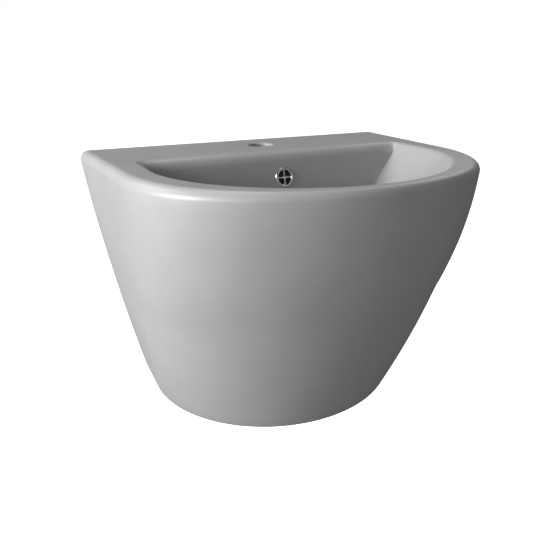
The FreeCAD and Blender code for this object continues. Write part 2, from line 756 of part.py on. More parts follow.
# ---------------------------------------------------------------- overflow grille

def make_grille():
    """A plain ring with straight spokes, pushed into the overflow hole."""
    body = new_body("overflow_grille", (ZERO, OVERFLOW_Y, RIM - s.overflow_drop), GRILLE_TURN)
    revolve(body, "grille_ring", [
        (s.grille_mouth_r, -s.grille_skirt), (s.grille_skirt_r, -s.grille_skirt),
        (s.grille_skirt_r, ZERO), (s.grille_r, ZERO), (s.grille_r, s.grille_lip / 2),
        (s.grille_r - s.grille_lip / 2, s.grille_lip), (s.grille_mouth_r + s.grille_lip / 4, s.grille_lip),
        (s.grille_mouth_r, s.grille_lip * 0.75)])
    spoke = attached_sketch(body, "spoke_outline", "XY_Plane", -s.grille_lip / 2)
    polygon(spoke, box_points(ZERO, s.grille_mouth_r + s.grille_lip / 4,
                              -s.grille_spoke / 2, s.grille_spoke / 2))
    first_spoke = extrude(body, "spoke", spoke, s.grille_lip)
    repeat_round(body, "spokes", [first_spoke], SPOKE_COUNT)
    hub = attached_sketch(body, "hub_circle", "XY_Plane", -s.grille_lip / 2)
    circle(hub, ZERO, ZERO, s.grille_hub_r)
    extrude(body, "hub", hub, s.grille_lip * 1.1)


# ---------------------------------------------------------------- waste and push plug

AT_SEAT = (ZERO, WASTE_Y, SEAT)
FLANGE_TOP = s.seal_thick + s.flange_thick
BRIDGE_TOP = s.bridge_height - s.bridge_drop
CARTRIDGE_TOP = BRIDGE_TOP + s.cartridge_head
CARTRIDGE_FLOOR = CARTRIDGE_TOP - s.cartridge_length + s.cartridge_wall
PLUG_UNDERSIDE = FLANGE_TOP + s.closed_gap + s.plug_travel + s.plug_seal_thick
STEM_TOP = PLUG_UNDERSIDE + s.plug_rim / 2
FOOT_TOP = CARTRIDGE_TOP - s.cartridge_wall - s.closed_gap
BOSS_UNDERSIDE = FLOOR - SEAT - s.boss_low


def make_waste_body():
    """Flanged tube with overflow windows and a cross bar that carries the latch."""
    body = new_body("waste_body", AT_SEAT)
    edge = s.flange_thick / 2
    dish_r = s.flange_r - edge * 3
    revolve(body, "waste_tube", [
        (s.tail_bore_r, -s.tail_length), (s.thread_r, -s.tail_length), (s.thread_r, s.seal_thick),
        (s.flange_r, s.seal_thick), (s.flange_r, FLANGE_TOP - edge), (s.flange_r - edge, FLANGE_TOP),
        (dish_r, FLANGE_TOP), (s.thread_r, FLANGE_TOP - edge), (s.tail_bore_r, ZERO)])
    window = attached_sketch(body, "window_outline", "XZ_Plane")
    polygon(window, box_points(-s.window_half, s.window_half, -s.window_low, -s.window_high))
    first_window = extrude(body, "window", window, s.thread_r + s.thread_gap, cut=True)
    repeat_round(body, "windows", [first_window], WINDOW_COUNT)
    arm = attached_sketch(body, "arm_outline", "XY_Plane", -s.bridge_drop)
    reach = (s.tail_bore_r + s.thread_r) / 2
    polygon(arm, box_points(ZERO, reach, -s.bridge_half, s.bridge_half))
    first_arm = extrude(body, "arm", arm, s.bridge_height)
    repeat_round(body, "arms", [first_arm], BRIDGE_ARMS)
    socket = attached_sketch(body, "socket_circle", "XY_Plane", -s.bridge_drop)
    circle(socket, ZERO, ZERO, s.socket_r)
    extrude(body, "socket", socket, s.bridge_height)
    bore = attached_sketch(body, "socket_bore_circle", "XY_Plane", BRIDGE_TOP)
    circle(bore, ZERO, ZERO, s.cartridge_r + s.thread_gap)
    extrude(body, "socket_bore", bore, s.bridge_height, cut=True)


def make_cartridge():
    inner_top = CARTRIDGE_TOP - s.cartridge_wall
    bottom = CARTRIDGE_TOP - s.cartridge_length
    neck_r = s.stem_r + s.thread_gap
    lathe("latch_cartridge", AT_SEAT, [
        (ZERO, bottom), (s.cartridge_r, bottom), (s.cartridge_r, BRIDGE_TOP), (s.socket_r, BRIDGE_TOP),
        (s.socket_r, CARTRIDGE_TOP), (neck_r, CARTRIDGE_TOP), (neck_r, inner_top),
        (s.cartridge_bore_r, inner_top), (s.cartridge_bore_r, CARTRIDGE_FLOOR), (ZERO, CARTRIDGE_FLOOR)])


def make_plug():
    """Cap, stem and seal that travel together; shown open, as they stand at rest."""
    socket_r = s.stem_r + s.thread_gap
    boss_r = s.stem_r * 2
    boss_low = PLUG_UNDERSIDE - boss_r
    crown = PLUG_UNDERSIDE + s.plug_thick
    lathe("plug_cap", AT_SEAT, [
        (socket_r, boss_low), (boss_r, boss_low), (boss_r, PLUG_UNDERSIDE), (s.plug_r, PLUG_UNDERSIDE),
        (s.plug_r, PLUG_UNDERSIDE + s.plug_rim), (s.plug_r - s.plug_rim, PLUG_UNDERSIDE + s.plug_rim * 1.6),
        (s.plug_r / 2, crown - s.plug_rim / 4), (ZERO, crown), (ZERO, STEM_TOP), (socket_r, STEM_TOP)])
    lathe("plug_stem", AT_SEAT, [
        (ZERO, FOOT_TOP - s.stem_foot), (s.stem_foot_r, FOOT_TOP - s.stem_foot), (s.stem_foot_r, FOOT_TOP),
        (s.stem_r, FOOT_TOP), (s.stem_r, STEM_TOP), (ZERO, STEM_TOP)])
    ring("plug_seal", AT_SEAT, s.plug_seal_in, s.plug_seal_out,
         PLUG_UNDERSIDE - s.plug_seal_thick, PLUG_UNDERSIDE)


def make_spring():
    """The latch spring stands between the cartridge's floor and the stem's foot."""
    body = new_body("latch_spring", AT_SEAT)
    low = CARTRIDGE_FLOOR + s.spring_wire_r * 2
    high = FOOT_TOP - s.stem_foot - s.spring_wire_r * 2
    wire = attached_sketch(body, "wire_outline", "XZ_Plane")
    flats = s.spring_wire_r * cosine(HALF_SIXTH) * 2
    polygon(wire, [(s.spring_r + x, low + y) for x, y in hexagon_points(flats)])
    helix = body.newObject("PartDesign::AdditiveHelix", "coil")
    helix.Profile = wire
    helix.ReferenceAxis = (wire, ["V_Axis"])
    helix.Mode = "height-turns-angle"
    helix.setExpression("Height", (high - low).text)
    helix.setExpression("Turns", s.spring_turns.text)
    doc.recompute()


def make_waste_fixings():
    """Seals, washer and nut that clamp the waste to the ceramic."""
    ring("waste_top_seal", AT_SEAT, THREAD_CLEAR_R, s.flange_r - s.seal_thick, ZERO, s.seal_thick)
    seal_low = BOSS_UNDERSIDE - s.lower_seal_thick
    washer_low = seal_low - s.slip_washer_thick
    washer_r = s.lower_seal_r - s.slip_washer_thick
    lathe("waste_lower_seal", AT_SEAT, [
        (THREAD_CLEAR_R, seal_low), (washer_r, seal_low), (s.lower_seal_r, BOSS_UNDERSIDE),
        (THREAD_CLEAR_R, BOSS_UNDERSIDE)])
    ring("slip_washer", AT_SEAT, THREAD_CLEAR_R, washer_r, washer_low, seal_low)
    nut = new_body("back_nut", AT_SEAT)
    outline = attached_sketch(nut, "back_nut_hexagon", "XY_Plane", washer_low - s.back_nut_thick)
    polygon(outline, hexagon_points(s.back_nut_flats))
    circle(outline, ZERO, ZERO, THREAD_CLEAR_R, "_bore")
    extrude(nut, "back_nut_prism", outline, s.back_nut_thick)


# ---------------------------------------------------------------- bottle trap

AT_TAIL = (ZERO, WASTE_Y, TAIL_END)
COLLAR_TOP = -s.trap_seal_thick
COLLAR_LOW = COLLAR_TOP - s.trap_collar
PIPE_CLEAR_R = s.pipe_r + s.thread_gap
AT_SPIGOT = (ZERO, WASTE_Y + s.spigot_end, OUTLET_LEVEL)


def add_ribs(body, name, radius, low, high):
    """Grip ribs round a hand tightened nut."""
    width = s.trap_nut_lip / 2
    outline = attached_sketch(body, f"{name}_outline", "XY_Plane", low)
    polygon(outline, box_points(radius - width, radius + width / 2, -width / 2, width / 2))
    first = extrude(body, f"{name}_first", outline, high - low)
    repeat_round(body, name, [first], RIB_COUNT)


def make_trap_inlet():
    lip_low = COLLAR_LOW - s.trap_nut_lip
    neck_clear_r = s.trap_neck_r + s.thread_gap
    nut = lathe("trap_inlet_nut", AT_TAIL, [
        (THREAD_CLEAR_R, s.trap_nut_rise), (s.trap_nut_r, s.trap_nut_rise), (s.trap_nut_r, lip_low),
        (neck_clear_r, lip_low), (neck_clear_r, COLLAR_LOW), (THREAD_CLEAR_R, COLLAR_LOW)])
    add_ribs(nut, "inlet_nut_ribs", s.trap_nut_r, lip_low, s.trap_nut_rise)
    ring("trap_inlet_seal", AT_TAIL, s.trap_neck_r - s.trap_neck_wall, s.thread_r, COLLAR_TOP, ZERO)


def make_trap_body():
    """Neck, bottle and dip tube in one moulding, with a threaded outlet towards the wall."""
    body = new_body("trap_body", AT_TAIL)
    dip_bore_r = s.trap_neck_r - s.trap_neck_wall
    inner_r = s.bottle_r - s.bottle_wall
    shoulder = s.bottle_wall * 2
    revolve(body, "bottle", [
        (dip_bore_r, COLLAR_TOP), (s.thread_r, COLLAR_TOP), (s.thread_r, COLLAR_LOW),
        (s.trap_neck_r, COLLAR_LOW), (s.trap_neck_r, -s.bottle_top),
        (s.bottle_r - shoulder, -s.bottle_top), (s.bottle_r, -s.bottle_top - shoulder),
        (s.bottle_r, -s.bottle_end), (inner_r, -s.bottle_end),
        (inner_r, -s.bottle_top - shoulder - s.bottle_wall / 2),
        (inner_r - shoulder + s.bottle_wall / 2, -s.bottle_top - s.bottle_wall),
        (s.trap_neck_r, -s.bottle_top - s.bottle_wall),
        (s.trap_neck_r, -s.dip_end), (dip_bore_r, -s.dip_end)])
    root = s.bottle_r * 0.75
    outlet = attached_sketch(body, "spigot_circle", "XZ_Plane", -root)
    circle(outlet, ZERO, -s.outlet_drop, s.spigot_r)
    extrude(body, "spigot", outlet, s.spigot_end - root, reverse=True)
    bore = attached_sketch(body, "spigot_bore_circle", "XZ_Plane", -s.spigot_end)
    circle(bore, ZERO, -s.outlet_drop, PIPE_CLEAR_R)
    extrude(body, "spigot_bore", bore, s.spigot_end - root, cut=True, reverse=True)


def make_trap_cup():
    """The cup screws over the bottle's lower end and comes off for cleaning."""
    skirt_r = s.bottle_r + s.thread_gap
    outer_r = skirt_r + s.cup_wall
    inner_r = s.bottle_r - s.bottle_wall - s.cup_wall
    step = -s.bottle_end - s.cup_seal_thick
    body = lathe("trap_cup", AT_TAIL, [
        (ZERO, -s.cup_base), (inner_r, -s.cup_base), (outer_r, -s.cup_base + s.cup_wall * 3),
        (outer_r, -s.cup_top), (skirt_r, -s.cup_top), (skirt_r, step), (inner_r, step),
        (inner_r, -s.cup_base + s.cup_wall * 2), (inner_r - s.cup_wall, -s.cup_base + s.cup_wall),
        (ZERO, -s.cup_base + s.cup_wall)])
    add_ribs(body, "cup_ribs", outer_r, -s.cup_base + s.cup_wall * 4, -s.cup_top - s.cup_wall)
    ring("trap_cup_seal", AT_TAIL, inner_r, s.bottle_r, step, -s.bottle_end)


def make_trap_outlet():
    thread_r = s.spigot_r + s.thread_gap
    lip_end = s.outlet_seal_thick + s.trap_nut_lip
    nut = lathe("trap_outlet_nut", AT_SPIGOT, [
        (thread_r, -s.outlet_nut_back), (s.outlet_nut_r, -s.outlet_nut_back), (s.outlet_nut_r, lip_end),
        (PIPE_CLEAR_R, lip_end), (PIPE_CLEAR_R, s.outlet_seal_thick), (thread_r, s.outlet_seal_thick)],
        INTO_WALL)
    add_ribs(nut, "outlet_nut_ribs", s.outlet_nut_r, -s.outlet_nut_back, lip_end)
    ring("trap_outlet_seal", AT_SPIGOT, PIPE_CLEAR_R, s.spigot_r, ZERO, s.outlet_seal_thick, INTO_WALL)
    to_wall = s.waste_setback - s.spigot_end
    pipe_bore = s.pipe_r - s.pipe_wall
    mark_r = s.pipe_r - s.pipe_mark
    lathe("trap_outlet_pipe", AT_SPIGOT, [
        (pipe_bore, -s.pipe_insert), (s.pipe_r, -s.pipe_insert),
        (s.pipe_r, to_wall - s.pipe_mark_width), (mark_r, to_wall - s.pipe_mark_width),
        (mark_r, to_wall), (s.pipe_r, to_wall), (s.pipe_r, to_wall + s.pipe_in_wall),
        (pipe_bore, to_wall + s.pipe_in_wall)], INTO_WALL)
    collar_r = s.pipe_r + s.rosette_wall * 3
    lathe("wall_rosette", (ZERO, ZERO, OUTLET_LEVEL), [
        (PIPE_CLEAR_R, -s.rosette_depth), (collar_r, -s.rosette_depth), (s.rosette_r, -s.rosette_wall),
        (s.rosette_r, ZERO), (s.rosette_r - s.rosette_wall, ZERO),
        (collar_r - s.rosette_wall, -s.rosette_depth + s.rosette_wall),
        (PIPE_CLEAR_R, -s.rosette_depth + s.rosette_wall)], INTO_WALL)


# ---------------------------------------------------------------- wall fixings

def make_wall_fixings():
    """Two studs, each with a plastic sleeve, a washer and a nut inside the shroud."""
    clear_r = s.stud_r + s.sleeve_gap
    plate = -s.back_plate
    sleeve_face = plate - s.sleeve_flange
    washer_face = sleeve_face - s.washer_thick
    turned_pair("wall_studs", [
        (ZERO, -s.stud_inside), (s.stud_shank_r - s.stud_chamfer, -s.stud_inside),
        (s.stud_shank_r, -s.stud_inside + s.stud_chamfer), (s.stud_shank_r, ZERO), (s.stud_r, ZERO),
        (s.stud_r, s.stud_in_wall - s.stud_point), (ZERO, s.stud_in_wall)])
    turned_pair("stud_sleeves", [
        (clear_r, sleeve_face), (s.sleeve_flange_r, sleeve_face), (s.sleeve_flange_r, plate),
        (s.fixing_r - s.sleeve_gap, plate), (s.fixing_r - s.sleeve_gap, -s.sleeve_gap),
        (clear_r, -s.sleeve_gap)])
    turned_pair("stud_washers", box_points(clear_r, s.washer_r, washer_face, sleeve_face))
    nuts = new_body("stud_nuts", ORIGIN, INTO_WALL)
    outline = attached_sketch(nuts, "nut_hexagon", "XY_Plane", washer_face - s.nut_thick, s.fixing_half)
    polygon(outline, hexagon_points(s.nut_flats))
    circle(outline, ZERO, ZERO, clear_r, "_bore")
    nut = extrude(nuts, "nut_prism", outline, s.nut_thick)
    mirror_across_x(nuts, "nuts_mirrored", [nut])


# ---------------------------------------------------------------- build, check and write

def export_nodes():
    """Stop if an object is broken, then write one STEP file for each node."""
    doc.recompute()
    for item in doc.Objects:
        if "Invalid" in item.State or "Error" in item.State:
            raise RuntimeError(f"{item.Name} failed: {item.State}")
    os.makedirs("parts", exist_ok=True)
    for node in nodes:
        if node.Shape.isNull() or not node.Shape.isValid():
            raise RuntimeError(f"{node.Label} has no valid shape")
        node.Shape.exportStep(f"parts/{node.Label}.step")
        print(node.Label, len(node.Shape.Solids), round(node.Shape.Volume))


make_ledge()
make_bowl()
make_shroud()
make_grille()
make_waste_body()
make_cartridge()
make_plug()
make_spring()
make_waste_fixings()
make_trap_inlet()
make_trap_body()
make_trap_cup()
make_trap_outlet()
make_wall_fixings()
export_nodes()
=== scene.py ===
# %% [markdown]
# # A wall hung basin, dressed in Blender
# The object is a satin grey ceramic basin that hangs on a wall. Its rim, tap ledge, bowl and half
# shroud are one fired casting. Behind and below are a push plug waste, a bottle trap and the wall
# fixings. The solid model gives every place and size, so this script starts by loading it as a fixed
# frame, and then builds a finer skin over it, piece by piece.

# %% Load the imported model
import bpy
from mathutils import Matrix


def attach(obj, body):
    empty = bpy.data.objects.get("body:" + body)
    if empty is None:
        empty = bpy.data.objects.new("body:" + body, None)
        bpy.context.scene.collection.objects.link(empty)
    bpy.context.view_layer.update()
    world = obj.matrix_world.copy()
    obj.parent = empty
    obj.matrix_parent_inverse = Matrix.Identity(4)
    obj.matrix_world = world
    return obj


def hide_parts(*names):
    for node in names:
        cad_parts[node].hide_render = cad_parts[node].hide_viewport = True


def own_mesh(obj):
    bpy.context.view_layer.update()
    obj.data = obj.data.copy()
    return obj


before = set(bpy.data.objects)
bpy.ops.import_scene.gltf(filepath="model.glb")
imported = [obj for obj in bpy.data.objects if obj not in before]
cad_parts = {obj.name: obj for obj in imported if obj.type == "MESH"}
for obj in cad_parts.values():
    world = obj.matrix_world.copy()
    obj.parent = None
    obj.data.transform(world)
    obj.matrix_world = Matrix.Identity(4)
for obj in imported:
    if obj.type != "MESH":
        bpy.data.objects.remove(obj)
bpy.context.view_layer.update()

# %% [markdown]
# ## Working in millimetres
# Ceramic makers and plumbers work in millimetres, and the scene is in metres. Each mesh is drawn in
# millimetres, with numbers that can be checked with a ruler, and scaled once when it is finished.
# A finished piece keeps its place in its mesh, so its object stays at the origin.

# %% Tools for finishing a piece
import math
import bmesh
import bpy
from mathutils import Matrix, Vector

MM = 0.001
MERGE = 0.0005                   # millimetres between points that count as one
ROOM = "basin_set"
PLUG = "push_plug"


def sharpen(bm, degrees):
    """Shade smooth, except over edges that turn by more than some degrees."""
    limit = math.radians(degrees)
    for face in bm.faces:
        face.smooth = True
    for edge in bm.edges:
        if len(edge.link_faces) == 2:
            edge.smooth = edge.calc_face_angle(0.0) < limit


def new_object(bm, name):
    mesh = bpy.data.meshes.new(name)
    bm.to_mesh(mesh)
    bm.free()
    piece = bpy.data.objects.new(name, mesh)
    bpy.context.scene.collection.objects.link(piece)
    return piece


def finish_piece(bm, name, finish, nodes, body=ROOM, crease=35):
    """Scale a drawn mesh to metres, dress it and let it ride on its body in place of its nodes."""
    bmesh.ops.remove_doubles(bm, verts=bm.verts, dist=MERGE)
    bmesh.ops.recalc_face_normals(bm, faces=bm.faces)
    sharpen(bm, crease)
    bmesh.ops.scale(bm, vec=Vector((MM, MM, MM)), verts=bm.verts)
    piece = new_object(bm, name)
    piece.data.materials.append(finish)
    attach(piece, body)
    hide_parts(*nodes)
    print(f"{name}: {len(piece.data.polygons)} faces")
    return piece


# %% [markdown]
# ## The basin's outline
# Seen from above, every level of the basin is a D: a straight back, two sides that are nearly
# straight, and a front of three arcs that run smoothly into each other. A potter's plaster mould is
# made from such sections. One function walks round a D and always gives the same number of points,
# so any two levels can be joined point to point, like the hoops of a barrel. A D is given by half its
# width where the front begins, the degrees by which its sides open towards the back, the sides' run,
# the front's reach, the back's place, the back corners' radius and the angle where the arcs join.

# %% Walk round a D
from collections import namedtuple

Dee = namedtuple("Dee", "half flare run reach back corner join")
BACK_STEPS, CORNER_STEPS, SIDE_STEPS, TURN_STEPS, FRONT_STEPS = 10, 6, 9, 22, 18


def steps(start, end, count):
    return [start + (end - start) * i / count for i in range(count)]


def half_outline(dee):
    """Points (x, y, front, back) from the middle of the back to the middle of the front."""
    join, flare = math.radians(dee.join), math.radians(dee.flare)
    depth = dee.reach - dee.run
    spare = 1 - math.cos(join) - math.sin(join)
    turn_r = (dee.half * (1 - math.sin(join)) - depth * math.cos(join)) / spare
    front_r = ((1 - math.cos(join)) * depth - dee.half * math.sin(join)) / spare
    turn_x, front_y = dee.half - turn_r, front_r - dee.reach
    corner_y = dee.back - dee.corner
    side_x = turn_x + turn_r / math.cos(flare) + (corner_y + dee.run) * math.tan(flare)
    corner_x = side_x - dee.corner / math.cos(flare)
    points = [(x, dee.back, 0.0, 1.0) for x in steps(0.0, corner_x, BACK_STEPS)]
    for angle in steps(math.pi / 2, -flare, CORNER_STEPS):
        share = (math.pi / 2 - angle) / (math.pi / 2 + flare)
        points.append((corner_x + dee.corner * math.cos(angle),
                       corner_y + dee.corner * math.sin(angle), 0.0, 1.0 - share))
    start = Vector((corner_x + dee.corner * math.cos(flare),
                    corner_y - dee.corner * math.sin(flare)))
    end = Vector((turn_x + turn_r * math.cos(flare), -dee.run - turn_r * math.sin(flare)))
    for share in steps(0.0, 1.0, SIDE_STEPS):
        points.append((*start.lerp(end, share), 0.0, 0.0))
    for angle in steps(flare, join, TURN_STEPS):
        points.append((turn_x + turn_r * math.cos(angle), -dee.run - turn_r * math.sin(angle),
                       math.sin(max(angle, 0.0)) ** 2, 0.0))
    for angle in steps(join, math.pi / 2, FRONT_STEPS):
        points.append((front_r * math.cos(angle), front_y - front_r * math.sin(angle),
                       math.sin(angle) ** 2, 0.0))
    points.append((0.0, -dee.reach, 1.0, 0.0))
    return points


def hoop(dee, level):
    """A closed ring of points. Level is one height, or the heights at the back, side and front."""
    back, side, front = level if isinstance(level, tuple) else (level, level, level)
    right = [Vector((x, y, side + (front - side) * f + (back - side) * b))
             for x, y, f, b in half_outline(dee)]
    left = [Vector((-p.x, p.y, p.z)) for p in reversed(right[1:-1])]
    return right + left


RIM_LEVEL, FOOT_LEVEL = 85.0, -255.0
SHELL_BACK, BACK_CORNER, SHELL_JOIN = 0.0, 1.2, 60
RIM = Dee(228.2, 3.44, 182, 382.2, SHELL_BACK, BACK_CORNER, SHELL_JOIN)
rim_hoop = hoop(RIM, RIM_LEVEL)
print("points in a hoop:", len(rim_hoop), "rim width:", round(2 * max(p.x for p in rim_hoop), 1))

# %% [markdown]
# ## The casting's levels
# The outer shell narrows from the rim to the foot in one long curve, so three sections are blended
# with a parabola, and its front corners are kept a little fuller under the rim. The bowl's walls are
# straight from its mouth to its floor. The inside of the shroud is the same shell, one wall
# thickness smaller.

# %% Sections of the shell and the bowl
WAIST = Dee(214, 0.5, 150, 330, SHELL_BACK, BACK_CORNER, SHELL_JOIN)
FOOT = Dee(183, -1.5, 80, 261, SHELL_BACK, BACK_CORNER, SHELL_JOIN)
FULLER_RUN, FULLER_REACH = 11.0, 2.5
FLOOR_LEVEL = -45.0
BOWL_DEPTH = RIM_LEVEL - FLOOR_LEVEL
LEAN_DEGREES = 11.3
BACK_LEAN = math.radians(LEAN_DEGREES)
BACK_SLOPE = math.tan(BACK_LEAN)
BOWL_BACK, BOWL_JOIN = -126.0, 45
MOUTH = Dee(191.0, -1.2, 181, 360.5, BOWL_BACK, 4.0, BOWL_JOIN)
FLOOR = Dee(104, -8, 196, 292, BOWL_BACK - BOWL_DEPTH * BACK_SLOPE, 7.0, BOWL_JOIN)
BOWL_LEANS = (BACK_LEAN, math.atan((MOUTH.half - FLOOR.half) / BOWL_DEPTH),
              math.atan((MOUTH.reach - FLOOR.reach) / BOWL_DEPTH))
SKIN, LEDGE, BACK_PLATE = 12.0, 15.0, 14.0


def shell_section(level):
    """The shell's D at a level, on a parabola through the rim, the waist and the foot."""
    e = (RIM_LEVEL - level) / (RIM_LEVEL - FOOT_LEVEL)
    weights = ((1 - e) * (1 - 2 * e), 4 * e * (1 - e), e * (2 * e - 1))
    mixed = Dee(*[sum(w * value for w, value in zip(weights, trio))
                  for trio in zip(RIM, WAIST, FOOT)])
    fuller = 16 * e * max(0.5 - e, 0.0)      # 1 a quarter of the way down, 0 at the rim and half way
    return mixed._replace(run=mixed.run + FULLER_RUN * fuller,
                          reach=mixed.reach + FULLER_REACH * fuller)


def shell_leans(level):
    """How much the shell's back, side and front lean inwards on the way down, over a millimetre."""
    above, below = shell_section(level + 0.5), shell_section(level - 0.5)
    return 0.0, math.atan(above.half - below.half), math.atan(above.reach - below.reach)


def bowl_section(level, grown=0.0):
    """The bowl's D at a level, or the D some millimetres outside it."""
    share = (RIM_LEVEL - level) / BOWL_DEPTH
    dee = Dee(*[a + (b - a) * share for a, b in zip(MOUTH, FLOOR)])
    return dee._replace(half=dee.half + grown, reach=dee.reach + grown,
                        back=dee.back + grown, corner=dee.corner + grown)


print("shell leans at the rim:", [round(math.degrees(a), 1) for a in shell_leans(RIM_LEVEL)])

# %% [markdown]
# ## Rounded corners between a wall and a level plane
# Glaze runs off a sharp edge when it melts, so every edge of the casting is round. The walls lean,
# and they lean by different amounts at the back, the sides and the front, so each corner's arc is
# worked out for each of the three places. Two kinds of corner lie under a level plane, and one kind
# stands on it.

# %% Corner arcs
def corner_arc(kind, radius, lean, share):
    """How far out and up a rounded corner is from its sharp corner, part of the way round it."""
    sin, cos = math.sin(lean), math.cos(lean)
    if kind == "under_outside":      # the rim's outer edge, and the corner inside the shroud
        centre, start, end = (-radius * (1 + sin) / cos, -radius), math.pi / 2, -lean
    elif kind == "under_inside":     # the bowl's mouth, and the corner outside the bowl's wall
        centre, start, end = (radius * (1 - sin) / cos, -radius), math.pi / 2, math.pi - lean
    else:                            # standing: the bowl's floor, and the shroud's foot
        centre, start, end = (-radius * (1 - sin) / cos, radius), -lean, -math.pi / 2
    angle = start + (end - start) * share
    return centre[0] + radius * math.cos(angle), centre[1] + radius * math.sin(angle)


def corner_hoops(kind, section, levels, radii, leans, count):
    """Hoops round a rounded corner, set in from a wall's sections at the back, side and front."""
    hoops = []
    for i in range(count + 1):
        places = [corner_arc(kind, radius, lean, i / count) for radius, lean in zip(radii, leans)]
        ups = [up for out, up in places]
        back, side, front = [out - up * math.tan(lean) for (out, up), lean in zip(places, leans)]
        if section is shell_section:                    # the shell stays flat against the wall
            back, ups[0] = SHELL_BACK, ups[1]
        heights = tuple(level + up for level, up in zip(levels, ups))
        at_back, at_side, at_front = [section(z) for z in heights]
        corner = max(at_back.corner + back, BACK_CORNER)
        hoops.append(hoop(at_side._replace(half=at_side.half + side, reach=at_front.reach + front,
                                           back=at_back.back + back, corner=corner), heights))
    return hoops


# %% [markdown]
# ## The casting as one skin
# A turned pot is one profile swept round a circle. This basin is the same idea with a D for a
# circle: one ring of vertices starts on the bowl's floor, is extruded again and again, and each new
# ring is laid on the next hoop, up the bowl, over the rim, down the shell, round the foot and back
# up inside to the underside of the bowl. The faces are all four sided and follow the form, which
# keeps the reflections clean. A boolean of solid blocks would leave ragged faces on the rim.

# %% The order of the hoops
WASTE = Vector((0.0, -205.0, 0.0))
FLOOR_RISE = 1.5
MOUTH_ROUND = (18.0, 9.5, 9.5)               # radii at the back, side and front
RIM_ROUND = (12.0, 12.0, 7.5)
FLOOR_ROUND, FOOT_ROUND = 26.0, 3.0
OPEN_R, FLAT_R, DISH_R = 12.0, 26.0, 36.0    # rings round the waste that the seat is cut from
SHELL_TOP, SHELL_LOW, SHELL_COUNT = 62.0, -250.0, 30


def even(size):
    """The same level or radius at the back, side and front."""
    return (size,) * 3


def round_hoop(radius, level, like):
    """A circle round the waste, with a point facing each point of another hoop."""
    ring = []
    for point in like:
        way = Vector((point.x - WASTE.x, point.y - WASTE.y)).normalized()
        ring.append(Vector((WASTE.x + way.x * radius, WASTE.y + way.y * radius, level)))
    return ring


def wall_between(low, high, count):
    """The hoops of a straight wall between two hoops, without those two."""
    return [[a.lerp(b, i / count) for a, b in zip(low, high)] for i in range(1, count)]


def bowl_hoops():
    """From the waste, over the floor and up the walls to the mouth's rounded edge."""
    floor_edge = corner_hoops("standing", bowl_section, even(FLOOR_LEVEL + FLOOR_RISE),
                              even(FLOOR_ROUND), BOWL_LEANS, 10)[::-1]
    outer = floor_edge[0]
    hoops = [round_hoop(radius, FLOOR_LEVEL, outer) for radius in (OPEN_R, FLAT_R)]
    dish = round_hoop(DISH_R, 0.0, outer)
    for share in (0.25, 0.5, 0.75):
        level = FLOOR_LEVEL + FLOOR_RISE * share ** 1.5
        hoops.append([Vector((*a.lerp(b, share).xy, level)) for a, b in zip(dish, outer)])
    mouth = corner_hoops("under_inside", bowl_section, even(RIM_LEVEL), MOUTH_ROUND, BOWL_LEANS, 11)
    return hoops + floor_edge + wall_between(floor_edge[-1], mouth[-1], 12) + mouth[::-1]


def shell_hoops():
    """Over the ledge and the rim's rounded edge, then down the outside to the foot."""
    rim = corner_hoops("under_outside", shell_section, even(RIM_LEVEL), RIM_ROUND,
                       shell_leans(RIM_LEVEL), 11)
    foot = corner_hoops("standing", shell_section, even(FOOT_LEVEL), even(FOOT_ROUND),
                        shell_leans(FOOT_LEVEL), 4)
    walls = [hoop(shell_section(level), level)
             for level in steps(SHELL_TOP, SHELL_LOW, SHELL_COUNT)]
    return rim + walls + foot


bowl, shell = bowl_hoops(), shell_hoops()
print("hoops in the bowl and the shell:", len(bowl), len(shell))

# %% The hoops that nobody sees from the front
CEILING = (RIM_LEVEL - LEDGE, RIM_LEVEL - LEDGE, 38.0)      # at the back, side and front
BOWL_WALL, BOWL_BASE = 13.0, 11.0
INNER_ROUND, QUARTER = 4.0, math.pi / 2
CEILING_ROUND, BASE_ROUND = 3.0, 20.0
INNER_LIP = ((1.6, 0.0), (0.5, 0.5), (0.0, 1.8))            # (grown, up) round the foot's inner edge
BOSS = ((43.0, 0.0), (39.5, 1.0), (37.5, 2.8), (37.0, 5.5), (37.0, 30.0), (36.6, 33.0),
        (35.6, 34.0), (OPEN_R, 34.0))                       # (radius, drop) of the waste boss
WALL_START, WALL_END = FOOT_LEVEL + 12.0, 7.0               # a level, and a drop below the ceiling


def inside_of_shell(level, wall=SKIN, back=BACK_PLATE):
    section = shell_section(level)
    return section._replace(half=section.half - wall, reach=section.reach - wall, back=-back)


def level_hoop(levels, inset=0.0):
    """A hoop inside the shell at three levels, set in by some millimetres."""
    at_back, at_side, at_front = [inside_of_shell(z) for z in levels]
    return hoop(at_side._replace(half=at_side.half - inset, reach=at_front.reach - inset,
                                 back=at_back.back - inset), levels)


def inside_hoops():
    """Up the inside of the shroud to the underside of the ledge."""
    hoops = [hoop(inside_of_shell(FOOT_LEVEL + up, SKIN - grown, BACK_PLATE - grown), FOOT_LEVEL + up)
             for grown, up in INNER_LIP]
    for share in steps(0.0, 1.0, 20):
        levels = [WALL_START + (top - WALL_END - WALL_START) * share for top in CEILING]
        hoops.append(level_hoop(tuple(levels)))
    for share in steps(0.0, 1.2, 6):                        # the last step is 1
        inset = INNER_ROUND * (1 - math.cos(QUARTER * share))
        drop = INNER_ROUND * (1 - math.sin(QUARTER * share))
        hoops.append(level_hoop(tuple(top - drop for top in CEILING), inset))
    return hoops


def outside_of_bowl(level):
    return bowl_section(level, BOWL_WALL)


